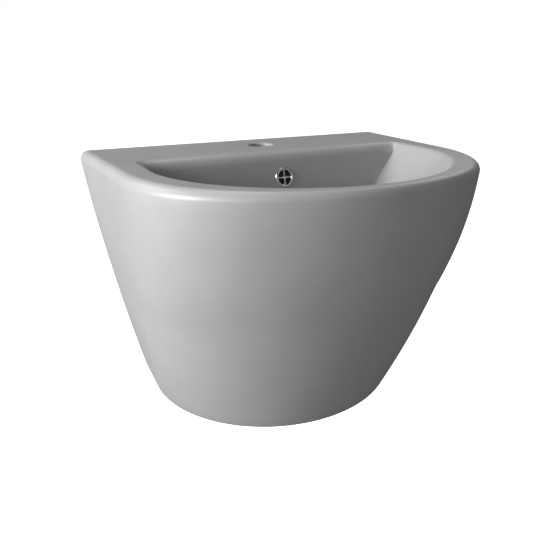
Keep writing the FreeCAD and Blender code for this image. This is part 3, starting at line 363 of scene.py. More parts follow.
def under_bowl_hoops():
    """From the ledge's underside down the outside of the bowl to the waste boss."""
    edge = corner_hoops("under_inside", outside_of_bowl, CEILING, even(CEILING_ROUND), BOWL_LEANS, 5)
    base = corner_hoops("standing", outside_of_bowl, even(FLOOR_LEVEL - BOWL_BASE),
                        even(BASE_ROUND), BOWL_LEANS, 6)
    boss = [round_hoop(radius, FLOOR_LEVEL - BOWL_BASE - drop, base[-1]) for radius, drop in BOSS]
    return edge + wall_between(edge[-1], base[0], 10) + base + boss


inside, under_bowl = inside_hoops(), under_bowl_hoops()
print("hoops inside the shroud and under the bowl:", len(inside), len(under_bowl))

# %% [markdown]
# ## Joining the hoops
# The first ring is a circle from `create_circle`. Its edges are extruded once for every hoop, and the
# new vertices are laid on that hoop's points. The last ring is bridged to the first one, so the skin
# is closed, like a tube bent until its ends meet. The waste hole is cut through that place later.

# %% Lay the skin
def edges_round(ring):
    ends = zip(ring, ring[1:] + ring[:1])
    return [next(e for e in a.link_edges if e.other_vert(a) is b) for a, b in ends]


def next_ring(bm, ring, points):
    """Extrude a closed ring of vertices and lay the new ring on a hoop's points."""
    made = bmesh.ops.extrude_edge_only(bm, edges=edges_round(ring))
    fresh = {v for v in made["geom"] if isinstance(v, bmesh.types.BMVert)}
    new = [next(e.other_vert(v) for e in v.link_edges if e.other_vert(v) in fresh) for v in ring]
    for vert, point in zip(new, points):
        vert.co = point
    return new


def skin_over(hoops):
    """One closed skin through a list of hoops, which come back to where they began."""
    bm = bmesh.new()
    first = bmesh.ops.create_circle(bm, segments=len(hoops[0]), radius=1.0)["verts"]
    for vert, point in zip(first, hoops[0]):
        vert.co = point
    ring = first
    for points in hoops[1:]:
        ring = next_ring(bm, ring, points)
    bmesh.ops.bridge_loops(bm, edges=edges_round(ring) + edges_round(first))
    bmesh.ops.recalc_face_normals(bm, faces=bm.faces)
    return bm


def flat_hoops(inner, outer, hold=0.5, between=3):
    """Hoops over a flat face, with one close to each of its edges to keep the shading flat."""
    ways = [(b - a).normalized() * hold for a, b in zip(inner, outer)]
    start = [a + way for a, way in zip(inner, ways)]
    end = [b - way for b, way in zip(outer, ways)]
    return [start] + wall_between(start, end, between + 1) + [end]


def open_edges(bm):
    return sum(not e.is_manifold for e in bm.edges)


hoops = bowl + flat_hoops(bowl[-1], shell[0]) + shell + inside
hoops += flat_hoops(inside[-1], under_bowl[0], between=2) + under_bowl
casting = skin_over(hoops)
print("casting:", len(casting.faces), "faces,", open_edges(casting), "open edges")

# %% [markdown]
# ## Drawn tools
# Holes and blocks are drawn as a few corners, and an operator makes them solid: a profile is spun
# round an axis, or a flat outline is extruded. The corners that a hand would feel are rounded with
# `bevel` before the spin, while the profile is still a wire.

# %% Spinning and extruding a profile
def wire(points, rounds=(), closed=False, segments=4):
    """A chain of edges through points (a, b); rounds gives (corner number, radius)."""
    bm = bmesh.new()
    verts = [bm.verts.new((a, 0.0, b)) for a, b in points]
    pairs = list(zip(verts, verts[1:])) + ([(verts[-1], verts[0])] if closed else [])
    for a, b in pairs:
        bm.edges.new((a, b))
    for number, radius in rounds:
        bmesh.ops.bevel(bm, geom=[verts[number]], offset=radius, offset_type="OFFSET",
                        segments=segments, profile=0.5, affect="VERTICES", material=-1)
    return bm


def placed(bm, centre, tip=None):
    """Turn a drawing about the origin, if tip says how, and move it to its centre."""
    if tip is not None:
        bmesh.ops.rotate(bm, verts=bm.verts, cent=(0, 0, 0), matrix=tip)
    bmesh.ops.translate(bm, verts=bm.verts, vec=Vector(centre))
    return bm


def turned(points, rounds=(), centre=(0, 0, 0), steps_round=64, tip=None, segments=4):
    """Spin a profile of (radius, height) into a closed piece; tip turns its axis."""
    bm = wire(points, rounds, True, segments)
    on_axis = [e for e in bm.edges if all(abs(v.co.x) < 1e-6 for v in e.verts)]
    bmesh.ops.delete(bm, geom=on_axis, context="EDGES")
    bmesh.ops.spin(bm, geom=bm.verts[:] + bm.edges[:], axis=(0, 0, 1), cent=(0, 0, 0),
                   angle=math.tau, steps=steps_round, use_merge=True)
    bmesh.ops.remove_doubles(bm, verts=bm.verts, dist=MERGE)
    bmesh.ops.recalc_face_normals(bm, faces=bm.faces)
    return placed(bm, centre, tip)


def slab(outline, thick, place=None, rounds=(), segments=4):
    """Extrude a flat outline of (x, z) corners along Y, centred on the outline's plane."""
    bm = wire(outline, rounds, True, segments)
    bmesh.ops.contextual_create(bm, geom=bm.edges[:])
    made = bmesh.ops.extrude_face_region(bm, geom=bm.faces[:])
    raised = [v for v in made["geom"] if isinstance(v, bmesh.types.BMVert)]
    bmesh.ops.translate(bm, verts=raised, vec=Vector((0, thick, 0)))
    bmesh.ops.translate(bm, verts=bm.verts, vec=Vector((0, -thick / 2, 0)))
    bmesh.ops.recalc_face_normals(bm, faces=bm.faces)
    if place is not None:
        bmesh.ops.transform(bm, matrix=place, verts=bm.verts)
    return bm


def joined(*drawings):
    """Put several drawings in one; each keeps its own surface."""
    whole = bmesh.new()
    for drawing in drawings:
        mesh = bpy.data.meshes.new("drawing")
        drawing.to_mesh(mesh)
        drawing.free()
        whole.from_mesh(mesh)
        bpy.data.meshes.remove(mesh)
    return whole


def carve(solid, tool, how="DIFFERENCE"):
    """An exact boolean of two drawings, which are both used up."""
    kept, used = new_object(solid, "solid"), new_object(tool, "tool")
    change = kept.modifiers.new("carve", "BOOLEAN")
    change.object, change.operation, change.solver = used, how, "EXACT"
    result = bmesh.new()
    result.from_object(kept, bpy.context.evaluated_depsgraph_get())
    for piece in (kept, used):
        mesh = piece.data
        bpy.data.objects.remove(piece)
        bpy.data.meshes.remove(mesh)
    return result


def turn(degrees, axis):
    return Matrix.Rotation(math.radians(degrees), 4, axis)


SIDEWAYS = turn(90, "Z")        # a slab drawn in X and Z is then drawn in Y and Z
INTO_WALL = turn(-90, "X")      # a turned piece then points into the wall

# %% [markdown]
# ## Overflow duct, holes and openings
# Behind the bowl's back wall, the casting carries a flat duct from the overflow hole down to the
# waste. It is joined on, and then its channel, the tap hole, the fixing holes and the opening for the
# trap are cut. A boolean is right here, because these are real cuts through clay that was already
# formed. The exact solver keeps the skin closed.

# %% Cut the casting
def duct_back(drop):
    """Y of the bowl wall's outer face at a drop below the rim."""
    return BOWL_BACK + BOWL_WALL - drop * BACK_SLOPE


def at(y, drop):
    return y, RIM_LEVEL - drop


def duct_side(top, deep, floor_drop, thick, inner):
    """The duct seen from the side: a leaning run behind the bowl, then a level one below it."""
    return [at(duct_back(top) + inner, top), at(duct_back(top) + thick, top),
            at(duct_back(deep) + thick, deep), at(WASTE.y, deep),
            at(WASTE.y, floor_drop), at(duct_back(floor_drop) + inner, floor_drop)]


DUCT_WIDTH, CHANNEL_WIDTH, HEEL_ROUND = 62.0, 44.0, 14.0
block_side = duct_side(top=7.5, deep=169.0, floor_drop=135.5, thick=23.0, inner=-6.5)
channel_side = duct_side(top=20.0, deep=160.0, floor_drop=146.0, thick=14.0, inner=0.0)
duct_block = slab(block_side, DUCT_WIDTH, SIDEWAYS, rounds=[(2, HEEL_ROUND)])
duct_channel = slab(channel_side, CHANNEL_WIDTH, SIDEWAYS)
casting = carve(casting, duct_block, "UNION")


def eased_hole(radius, edge, top, low):
    """A cutter's profile for a hole whose upper edge is rounded over."""
    over = [(radius + edge * (1 - math.sin(a)), edge * (math.cos(a) - 1))
            for a in steps(0, QUARTER, 5)]
    return [(0, top), (radius + edge, top)] + over + [(radius, -edge), (radius, low)]


TAP = Vector((0.0, -58.0, RIM_LEVEL))
TAP_R, TAP_EDGE = 17.5, 1.8
FIXINGS_X, FIXING_R = (-140, 140), 9
DOOR = ((-112, -270), (112, -270), (112, -87), (-112, -87))
DOOR_CUT, DOOR_ROUND = 56.0, 30.0
tap_cutter = turned(eased_hole(TAP_R, TAP_EDGE, 6, -20) + [(0, -20)], centre=TAP, steps_round=72)
door = slab(DOOR, DOOR_CUT, rounds=[(2, DOOR_ROUND), (3, DOOR_ROUND)], segments=10)
fixings = [turned([(0, -30), (FIXING_R, -30), (FIXING_R, 30), (0, 30)], centre=(x, 0, 0),
                  tip=INTO_WALL, steps_round=40) for x in FIXINGS_X]
casting = carve(casting, joined(duct_channel, tap_cutter, door, *fixings))

SEAT_R, SEAT_DROP, WASTE_BORE_R = 34.5, 3.0, 23.0
seat_cutter = turned(eased_hole(SEAT_R, edge=0.8, top=12, low=-SEAT_DROP)
                     + [(WASTE_BORE_R, -SEAT_DROP), (WASTE_BORE_R, -60), (0, -60)],
                     centre=(WASTE.x, WASTE.y, FLOOR_LEVEL), steps_round=72)
OVERFLOW_DROP = 34.0
OVERFLOW = Vector((0.0, BOWL_BACK - OVERFLOW_DROP * BACK_SLOPE, RIM_LEVEL - OVERFLOW_DROP))
FACING_BOWL = turn(90 - LEAN_DEGREES, "X")
overflow_cutter = turned([(0, -15.6), (11, -15.6), (11, 15.6), (0, 15.6)], centre=OVERFLOW,
                         tip=FACING_BOWL, steps_round=48)
casting = carve(casting, joined(seat_cutter, overflow_cutter))
print("casting after the cuts:", len(casting.faces), "faces,", open_edges(casting), "open edges")

# %% [markdown]
# ## Finishes
# A finish is a small net of nodes. Most of these share one plan: a slow noise that shifts the colour
# a little, a finer noise that shifts the roughness, and a very fine one that lifts the surface. All
# of them read Object coordinates, which are metres here, so a scale of 100 means a grain of about
# one centimetre.

# %% A plan for finishes
IOR = 1.5                        # glaze and most plastics bend light alike
RAMP = (0.3, 0.7)                # a noise seldom leaves this range


def new_finish(name, metallic=0.0, specular=0.5):
    """A material with its shader; constant values are set on the shader's own sockets."""
    finish = bpy.data.materials.new(name)
    finish.use_nodes = True
    shader = finish.node_tree.nodes["Principled BSDF"]
    for socket, value in (("Metallic", metallic), ("Specular IOR Level", specular), ("IOR", IOR)):
        shader.inputs[socket].default_value = value
    return finish, shader


def mottle(finish, scale, detail, low, high):
    """A noise on Object coordinates, ramped from one colour or grey to another."""
    nodes, links = finish.node_tree.nodes, finish.node_tree.links
    place = nodes.new("ShaderNodeTexCoord")
    noise = nodes.new("ShaderNodeTexNoise")
    noise.inputs["Scale"].default_value = scale
    noise.inputs["Detail"].default_value = detail
    ramp = nodes.new("ShaderNodeValToRGB")
    for element, position, value in zip(ramp.color_ramp.elements, RAMP, (low, high)):
        element.position = position
        element.color = (*value, 1) if isinstance(value, tuple) else (value, value, value, 1)
    links.new(place.outputs["Object"], noise.inputs["Vector"])
    links.new(noise.outputs["Fac"], ramp.inputs["Fac"])
    return noise.outputs["Fac"], ramp.outputs["Color"]


def relief(finish, shader, height, strength, distance):
    """Lift the surface by a noise; distance is in metres."""
    bump = finish.node_tree.nodes.new("ShaderNodeBump")
    bump.inputs["Strength"].default_value = strength
    bump.inputs["Distance"].default_value = distance
    finish.node_tree.links.new(height, bump.inputs["Height"])
    finish.node_tree.links.new(bump.outputs["Normal"], shader.inputs["Normal"])


def plain_finish(name, dark, light, rough, grain, lift, **kind):
    """Colour, roughness and relief from three noises, which is enough for most finishes."""
    finish, shader = new_finish(name, **kind)
    links = finish.node_tree.links
    links.new(mottle(finish, grain[0], 3, dark, light)[1], shader.inputs["Base Color"])
    links.new(mottle(finish, grain[1], 2, *rough)[1], shader.inputs["Roughness"])
    relief(finish, shader, mottle(finish, grain[2], 2, 0.0, 1.0)[0], *lift)
    return finish


# %% [markdown]
# ### Satin grey glaze
# The glaze is a matt grey that melts over the clay. It is even, but a kiln leaves faint clouds a few
# centimetres wide, and the surface has a very shallow orange peel. Real satin glaze has a broad,
# weak highlight, so the roughness is about four tenths and hardly varies.

# %% Mix the glaze
glaze = plain_finish("satin_grey_glaze", (0.308, 0.308, 0.307), (0.332, 0.332, 0.330), (0.37, 0.41),
                     grain=(14, 60, 260), lift=(0.10, 0.0003))
print("finish:", glaze.name)

# %% [markdown]
# ### Bare clay at the back
# The flat back that lies against the wall is wiped clean before firing, because melted glaze would
# stick to the kiln shelf. There the pale, dry clay shows. One material can hold both: a mask tells
# from the Object coordinate Y, which is zero at the wall, where the glaze stops. A little noise
# makes its edge run unevenly, as a sponge leaves it.

# %% Let the clay show
WIPED, WAVER = 0.0006, 0.0012                # metres from the wall, and how far the edge strays
MIX_ENDS = {"RGBA": (6, 7, 2), "FLOAT": (2, 3, 0)}      # the Mix node's A, B and result by kind


def bare_back(finish, clay_dark, clay_light, clay_rough):
    """Mix dry clay into a glaze wherever the surface lies against the wall."""
    nodes, links = finish.node_tree.nodes, finish.node_tree.links
    shader = nodes["Principled BSDF"]
    place, split = nodes.new("ShaderNodeTexCoord"), nodes.new("ShaderNodeSeparateXYZ")
    links.new(place.outputs["Object"], split.inputs["Vector"])
    wiped = nodes.new("ShaderNodeMapRange")
    wiped.inputs["From Min"].default_value = -WIPED - WAVER
    wiped.inputs["From Max"].default_value = -WIPED
    edge = nodes.new("ShaderNodeMath")
    edge.operation = "MULTIPLY_ADD"
    links.new(mottle(finish, 160, 2, 0.0, 1.0)[0], edge.inputs[0])
    edge.inputs[1].default_value = -WAVER
    links.new(split.outputs["Y"], edge.inputs[2])
    links.new(edge.outputs["Value"], wiped.inputs["Value"])
    colour = mottle(finish, 45, 4, clay_dark, clay_light)[1]
    roughness = mottle(finish, 300, 2, *clay_rough)[1]
    for socket, kind, clay in (("Base Color", "RGBA", colour), ("Roughness", "FLOAT", roughness)):
        mix = nodes.new("ShaderNodeMix")
        mix.data_type = kind
        of_glaze, of_clay, result = MIX_ENDS[kind]
        links.new(wiped.outputs["Result"], mix.inputs["Factor"])
        links.new(shader.inputs[socket].links[0].from_socket, mix.inputs[of_glaze])
        links.new(clay, mix.inputs[of_clay])
        links.new(mix.outputs[result], shader.inputs[socket])


bare_back(glaze, (0.60, 0.56, 0.50), (0.70, 0.66, 0.60), (0.80, 0.92))
print("nodes in the glaze:", len(glaze.node_tree.nodes))

# %% [markdown]
# ### Metals, rubber and plastics
# The visible waste and overflow parts are chrome over brass, a little soft in its gloss. The hidden
# nut is bare brass, and the wall fixings are zinc plated steel. The trap is moulded in white plastic.

# %% Mix the other finishes
chrome = plain_finish("bright_chrome", (0.84, 0.85, 0.86), (0.90, 0.91, 0.92), (0.24, 0.30),
                      grain=(60, 200, 700), lift=(0.02, 0.0001), metallic=1.0)
brass = plain_finish("bare_brass", (0.62, 0.42, 0.16), (0.72, 0.52, 0.22), (0.25, 0.38),
                     grain=(90, 400, 900), lift=(0.1, 0.0001), metallic=1.0)
steel = plain_finish("zinc_plated_steel", (0.48, 0.49, 0.50), (0.60, 0.61, 0.60), (0.28, 0.42),
                     grain=(120, 350, 900), lift=(0.1, 0.0001), metallic=1.0)
rubber = plain_finish("black_rubber", (0.014, 0.014, 0.015), (0.026, 0.026, 0.027), (0.62, 0.78),
                      grain=(80, 500, 1500), lift=(0.25, 0.0001))
gloss_white = plain_finish("gloss_white_plastic", (0.76, 0.76, 0.75), (0.82, 0.82, 0.81), (0.16, 0.24),
                           grain=(40, 200, 700), lift=(0.04, 0.0001))
matt_white = plain_finish("moulded_white_plastic", (0.66, 0.66, 0.64), (0.73, 0.73, 0.71), (0.34, 0.46),
                          grain=(40, 300, 900), lift=(0.12, 0.0001))

# %% [markdown]
# ## The basin takes its place
# The casting is one fired piece, and the solid model holds it as three nodes. The skin stands for all
# three at once, so no seam shows where they meet.

# %% Glaze the casting
finish_piece(casting, "basin", glaze, ["basin_ledge", "basin_bowl", "basin_shroud"])

# %% [markdown]
# ## Turned parts
# Seals, washers, the plug and the trap were all turned on a lathe or moulded in a turned die. Each is
# a profile of (radius, height) spun round its own axis. The corners that matter get a small radius,
# because a sharp edge never catches the light as a real one does.

# %% Where the turned parts stand
TAIL_DROP, SPIGOT_DROP, SPIGOT_REACH = 75.0, 40.0, 58.0
SEAT = Vector((WASTE.x, WASTE.y, FLOOR_LEVEL - SEAT_DROP))
TAIL = Vector((WASTE.x, WASTE.y, SEAT.z - TAIL_DROP))
SPIGOT = Vector((WASTE.x, WASTE.y + SPIGOT_REACH, TAIL.z - SPIGOT_DROP))
OUTLET = Vector((0.0, 0.0, SPIGOT.z))
THREAD_CLEAR, PIPE_CLEAR = 21.2, 16.3


def ring_profile(inner, outer, low, high):
    return [(inner, low), (outer, low), (outer, high), (inner, high)]


def turned_piece(name, finish, points, rounds, centre, tip=None, body=ROOM,
                 steps_round=72, segments=3):
    """A turned part that stands for the node of the same name."""
    bm = turned(points, rounds, centre, steps_round, tip, segments=segments)
    return finish_piece(bm, name + "_turned", finish, [name], body)


turned_piece("plug_seal", rubber, ring_profile(20, 26, 12.3, 14.8),
             [(0, 0.8), (1, 0.8)], SEAT, body=PLUG)
turned_piece("waste_top_seal", rubber, ring_profile(THREAD_CLEAR, 30.5, 0.0, 1.5), [], SEAT)
turned_piece("waste_lower_seal", rubber,
             [(THREAD_CLEAR, -48), (31.5, -48), (33, -42), (THREAD_CLEAR, -42)],
             [(1, 0.8), (2, 0.8)], SEAT)
turned_piece("slip_washer", gloss_white,
             ring_profile(THREAD_CLEAR, 31.5, -49.5, -48), [(1, 0.3)], SEAT)
turned_piece("trap_inlet_seal", rubber, ring_profile(14, 20.9, -2.5, 0), [], TAIL)
turned_piece("trap_cup_seal", rubber, ring_profile(26.5, 32, -86.5, -84), [], TAIL)
turned_piece("trap_outlet_seal", rubber, ring_profile(PIPE_CLEAR, 20, 0, 5), [],
             SPIGOT, INTO_WALL)
turned_piece("latch_cartridge", gloss_white,
             [(0, -68), (6.2, -68), (6.2, -34), (9, -34), (9, -30), (2.8, -30), (2.8, -32),
              (4.5, -32), (4.5, -66), (0, -66)], [(1, 0.6), (3, 0.4), (4, 0.6)], SEAT, steps_round=40)
turned_piece("plug_stem", brass,
             [(0, -34.8), (4, -34.8), (4, -32.3), (2.5, -32.3), (2.5, 15.55), (0, 15.55)],
             [(1, 0.4), (2, 0.4)], SEAT, body=PLUG, steps_round=32)

# %% [markdown]
# ### Push plug
# The plug is a shallow chromed dome on a stem. A press pushes it down and a latch holds it. It is
# the one part that moves, so it rides on its own body. The dome is a parabola, which reflects the
# room as a soft disc, and its rim is rolled.

# %% Plug cap
def dome(radius, edge_level, crown, count=12):
    return [(radius * i / count, crown - (crown - edge_level) * (i / count) ** 2)
            for i in range(count, 0, -1)]


turned_piece("plug_cap", chrome,
             [(2.8, 9.8), (5, 9.8), (5, 14.8), (31, 14.8), (31, 16.5)] + dome(30.2, 17.0, 18.3)
             + [(0, 18.3), (0, 15.55), (2.8, 15.55)],
             [(1, 0.4), (3, 0.5), (4, 0.5)], SEAT, body=PLUG, steps_round=96)

# %% [markdown]
# ### Waste body
# The waste is a flanged brass tube, chromed where it shows. Four windows let the overflow water in,
# and a ring on three arms in the tube carries the latch. The tube is spun, the windows are cut
# through it and the ring is joined on, in the order in which a machinist would do it.

# %% Waste body
def bar(length, width, low, high, start=0.0, edge=0.3):
    """A bar along X from a start, with eased edges."""
    bm = slab([(start, low), (start + length, low), (start + length, high), (start, high)], width)
    bmesh.ops.bevel(bm, geom=bm.edges[:], offset=edge, offset_type="OFFSET", segments=2, profile=0.5,
                    affect="EDGES", material=-1)
    return bm


def round_about(make, count):
    """The same drawing several times round the Z axis."""
    return joined(*[placed(make(), (0, 0, 0), turn(360 * i / count, "Z")) for i in range(count)])


WINDOW = ((-6, -28), (6, -28), (6, -12), (-6, -12))
tube = turned([(18, -75), (20.9, -75), (20.9, 1.5), (32, 1.5), (32, 4.0), (28.4, 4.0), (20.9, 2.6),
               (18, 0)], [(1, 0.5), (3, 0.4), (4, 1.1), (5, 1.2), (7, 1.0)], steps_round=96)
for degrees in (0, 90):
    window = slab(WINDOW, 50.0, turn(degrees, "Z"), rounds=[(i, 1.5) for i in range(4)])
    tube = carve(tube, window)
spider = carve(turned(ring_profile(6.5, 9, -42, -34), [(i, 0.3) for i in range(4)], steps_round=48),
               round_about(lambda: bar(11.7, 6.0, -41.8, -34.2, 7.75), 3), "UNION")
waste = placed(carve(tube, spider, "UNION"), SEAT)
finish_piece(waste, "waste_body_machined", chrome, ["waste_body"])

# %% [markdown]
# ### Overflow insert
# A chromed ring is pushed into the overflow hole, with a few spokes across it. Real inserts differ by
# maker, so this one is a plain generic cross with a small hub. The ring's narrow domed face shows as
# a bright arc in the light.

# %% Overflow insert
grille = turned([(9.6, -13), (10.6, -13), (10.6, 0), (13.2, 0), (13.2, 1.5), (11.9, 2.6),
                 (10.6, 2.6), (9.6, 1.7)],
                [(1, 0.3), (3, 0.3), (4, 0.7), (5, 0.7), (6, 0.5), (7, 0.5)], steps_round=72)
cross = round_about(lambda: bar(8.4, 1.8, -1.3, 1.3, 1.7, 0.35), 4)
hub = turned([(0, -1.3), (2.6, -1.3), (2.6, 1.56), (0, 1.56)], [(1, 0.3), (2, 0.6)], steps_round=36)
grille = placed(carve(grille, carve(hub, cross, "UNION"), "UNION"), OVERFLOW, FACING_BOWL)
finish_piece(grille, "overflow_insert", chrome, ["overflow_grille"])

# %% [markdown]
# ### Nuts
# Two kinds of nut hold the plumbing. The metal ones are hexagons whose corners were chamfered on a
# lathe, so a hexagonal prism is cut to the shape of a turned disc. The plastic ones are tightened by
# hand, so they have grip ribs.

# %% Hexagon nuts and ribbed nuts
def hexagon_nut(flats, bore, low, high, chamfer):
    """A prism with the turned chamfer of a real nut."""
    radius = flats / math.sqrt(3)
    corners = [(radius * math.cos(a), radius * math.sin(a)) for a in steps(0, math.tau, 6)]
    prism = slab(corners, high - low + 4, Matrix.Translation((0, 0, (low + high) / 2)) @ turn(90, "X"))
    inner = flats / 2 - 0.2
    slope = (radius - inner) * 0.6
    disc = turned([(bore, low), (inner, low), (radius + 1, low + slope), (radius + 1, high - slope),
                   (inner, high), (bore, high)], [(0, chamfer), (5, chamfer)],
                  steps_round=72, segments=1)
    return carve(disc, prism, "INTERSECT")


RIB, RIB_COUNT = 1.75, 12


def ribs(radius, low, high):
    """Rounded grip ribs that stand on a cylinder."""
    return round_about(lambda: bar(RIB * 1.5, RIB, low, high, radius - RIB, 0.4), RIB_COUNT)


def ribbed_piece(name, points, rounds, rib, centre, tip=None):
    """A hand nut or cup in trap plastic; rib is the ribs' cylinder and their two ends."""
    bm = carve(turned(points, rounds, steps_round=96, segments=3), ribs(*rib), "UNION")
    return finish_piece(placed(bm, centre, tip), name + "_ribbed", matt_white, [name])


back_nut = placed(hexagon_nut(56.0, THREAD_CLEAR, -59.5, -49.5, 0.8), SEAT)
finish_piece(back_nut, "back_nut_chamfered", brass, ["back_nut"], crease=20)
NUT_ROUNDS = [(0, 0.5), (1, 1.0), (2, 1.4), (3, 0.5)]
ribbed_piece("trap_inlet_nut",
             [(THREAD_CLEAR, 11), (27, 11), (27, -10), (PIPE_CLEAR, -10), (PIPE_CLEAR, -6.5),
              (THREAD_CLEAR, -6.5)], NUT_ROUNDS, (27.0, -9.0, 10.4), TAIL)
ribbed_piece("trap_outlet_nut",
             [(20.3, -14), (25.5, -14), (25.5, 8.5), (PIPE_CLEAR, 8.5), (PIPE_CLEAR, 5), (20.3, 5)],
             NUT_ROUNDS, (25.5, -13.4, 7.4), SPIGOT, INTO_WALL)

# %% [markdown]
# ### Bottle trap
# The trap is a white bottle that keeps water in its bend, so no air comes up from the drain. Its body
# is one moulding, with a neck, a dip tube and a threaded spigot towards the wall. The cup below
# unscrews for cleaning, and a pipe goes on into the wall through a rosette.

# %% Trap body, cup, pipe and rosette
THREAD_START, THREAD_PITCH, THREAD_TURNS = 45.0, 1.5, 8
AT_SPIGOT = (0, 0, -SPIGOT_DROP)
bottle = turned([(14, -2.5), (20.9, -2.5), (20.9, -6.5), (16, -6.5), (16, -20), (27, -20), (32, -25),
                 (32, -84), (29.5, -84), (29.5, -26.25), (25.75, -22.5), (16, -22.5), (16, -96),
                 (14, -96)], [(4, 1.2), (5, 3.0), (6, 3.0), (13, 0.5)], steps_round=96)
thread = [(radius, THREAD_START + THREAD_PITCH * i + step) for i in range(THREAD_TURNS)
          for radius, step in ((19.2, 0.5), (19.2, 0.8), (20, 1.2))]
spigot = turned([(0, 24), (20, 24), (20, THREAD_START)] + thread + [(20, 58), (0, 58)], [],
                AT_SPIGOT, 72, INTO_WALL)
spigot_bore = turned([(0, 20), (PIPE_CLEAR, 20), (PIPE_CLEAR, 60), (0, 60)], [],
                     AT_SPIGOT, 64, INTO_WALL)
bottle = placed(carve(carve(bottle, spigot, "UNION"), spigot_bore), TAIL)
finish_piece(bottle, "trap_bottle", matt_white, ["trap_body"])
ribbed_piece("trap_cup",
             [(0, -118), (26.5, -118), (35.3, -109), (35.3, -66), (32.3, -66), (32.3, -86.5),
              (26.5, -86.5), (26.5, -112), (23.5, -115), (0, -115)],
             [(1, 5.0), (2, 4.0), (3, 0.8), (4, 0.4)], (35.3, -105.5, -69.5), TAIL)
turned_piece("trap_outlet_pipe", matt_white,
             [(14.5, -12), (16, -12), (16, 145), (15.6, 145), (15.6, 147), (16, 147), (16, 187),
              (14.5, 187)], [(1, 0.4), (6, 0.5), (7, 0.4)], SPIGOT, INTO_WALL)
turned_piece("wall_rosette", matt_white,
             [(PIPE_CLEAR, -9), (20.5, -9), (32, -1.5), (32, 0), (30.5, 0), (19, -7.5),
              (PIPE_CLEAR, -7.5)], [(1, 2.5), (2, 0.7)], OUTLET, INTO_WALL, steps_round=96, segments=6)

# %% [markdown]
# ### Wall fixings
# Each hanger bolt has a coarse wood thread in the wall and a fine machine thread in the room. A screw
# thread is one tooth that turns and climbs together, which is what `spin` does when it is given a
# step along its axis. The ends are then cut level and closed.

# %% Threads
BOLT_CLEAR = 5.3


def threaded(root, crest, pitch, low, high, steps_round=24):
    """A screw thread between two levels, closed at both ends."""
    whole_turns = math.ceil((high - low) / pitch) + 2
    tooth = ((root, 0), (root, 0.2), (crest, 0.55), (crest, 0.65), (root, 1))
    bm = wire([(radius, share * pitch) for radius, share in tooth])
    bmesh.ops.translate(bm, verts=bm.verts, vec=(0, 0, low - pitch))
    bmesh.ops.spin(bm, geom=bm.verts[:] + bm.edges[:], axis=(0, 0, 1), cent=(0, 0, 0),
                   dvec=(0, 0, pitch / steps_round), angle=math.tau * whole_turns,
                   steps=steps_round * whole_turns)
    bmesh.ops.remove_doubles(bm, verts=bm.verts, dist=MERGE)
    for level, side in ((low, -1), (high, 1)):
        cut = bmesh.ops.bisect_plane(bm, geom=bm.verts[:] + bm.edges[:] + bm.faces[:],
                                     plane_co=(0, 0, level), plane_no=(0, 0, side), clear_outer=True)
        rim = [e for e in cut["geom_cut"] if isinstance(e, bmesh.types.BMEdge)]
        bmesh.ops.contextual_create(bm, geom=rim)
    bmesh.ops.recalc_face_normals(bm, faces=bm.faces)
    return bm


def both_fixings(name, make, finish, node, crease=35):
    """The same part at both studs, pointing into the wall."""
    pair = [placed(make(), (x, 0, 0), INTO_WALL) for x in FIXINGS_X]
    return finish_piece(joined(*pair), name, finish, [node], crease=crease)


def hanger_bolt():
    room_end = threaded(4.05, 4.7, 1.5, -34.6, -4.0)
    wall_end = threaded(3.7, 5.0, 3.5, 4.0, 44.0)
    shank = turned([(0, -36), (3.3, -36), (4.0, -35.2), (4.0, -4.5), (4.6, -4.2), (4.6, 4.2),
                    (3.65, 5), (3.65, 44), (1.6, 50), (0, 55)], steps_round=24)
    return joined(room_end, wall_end, shank)


def sleeve():
    return turned([(BOLT_CLEAR, -17), (16, -17), (16, -14), (8.7, -14), (8.7, -0.3),
                   (BOLT_CLEAR, -0.3)], [(0, 0.4), (1, 0.8), (2, 0.4)])


def washer():
    return turned(ring_profile(BOLT_CLEAR, 14, -19, -17), [(0, 0.2), (1, 0.4)])


def bolt_nut():
    return hexagon_nut(17.0, BOLT_CLEAR, -27.0, -19.0, 0.5)


both_fixings("hanger_bolts", hanger_bolt, steel, "wall_studs")
both_fixings("bolt_sleeves", sleeve, gloss_white, "stud_sleeves")
both_fixings("bolt_washers", washer, steel, "stud_washers")
both_fixings("bolt_nuts", bolt_nut, steel, "stud_nuts", crease=20)

# %% [markdown]
# ## Latch spring
# A small spring under the stem pushes the plug up. It is wound wire, so a wire's cross section is
# spun with a step along the axis, as for the threads. One end stays and the other end moves, yet
# here the spring rides on the basin set's body with the fixed parts.

# %% Wind the spring
SPRING_LOW, SPRING_HIGH, SPRING_R, WIRE_R, TURNS = -65.2, -35.6, 3.5, 0.4, 5


def wound_spring(steps_round=28):
    """A helix of round wire with closed ends."""
    bm = bmesh.new()
    bmesh.ops.create_circle(bm, segments=10, radius=WIRE_R)
    placed(bm, (SPRING_R, 0, SPRING_LOW), turn(90, "X"))
    count = TURNS * steps_round
    climb = (SPRING_HIGH - SPRING_LOW) / count
    bmesh.ops.spin(bm, geom=bm.verts[:] + bm.edges[:], axis=(0, 0, 1), cent=(0, 0, 0),
                   dvec=(0, 0, climb), angle=math.tau * TURNS, steps=count)
    bmesh.ops.holes_fill(bm, edges=[e for e in bm.edges if e.is_boundary], sides=0)
    return placed(bm, SEAT)


spring = finish_piece(wound_spring(), "latch_spring_wound", steel, ["latch_spring"])
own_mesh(spring)

# %% [markdown]
# ## Floor
# The basin is photographed alone against white, as in a catalogue. The floor is as far below the rim
# as in a bathroom. It is lit through from below, like a photographer's white table, so it shows
# plain white without a shadow. Diffuse and glossy rays pass it by, because its glow would otherwise
# light the basin from underneath.

# %% Floor
FLOOR_R, FLOOR_BELOW = 9.0, 0.765        # metres
WHITE = (1, 1, 1, 1)


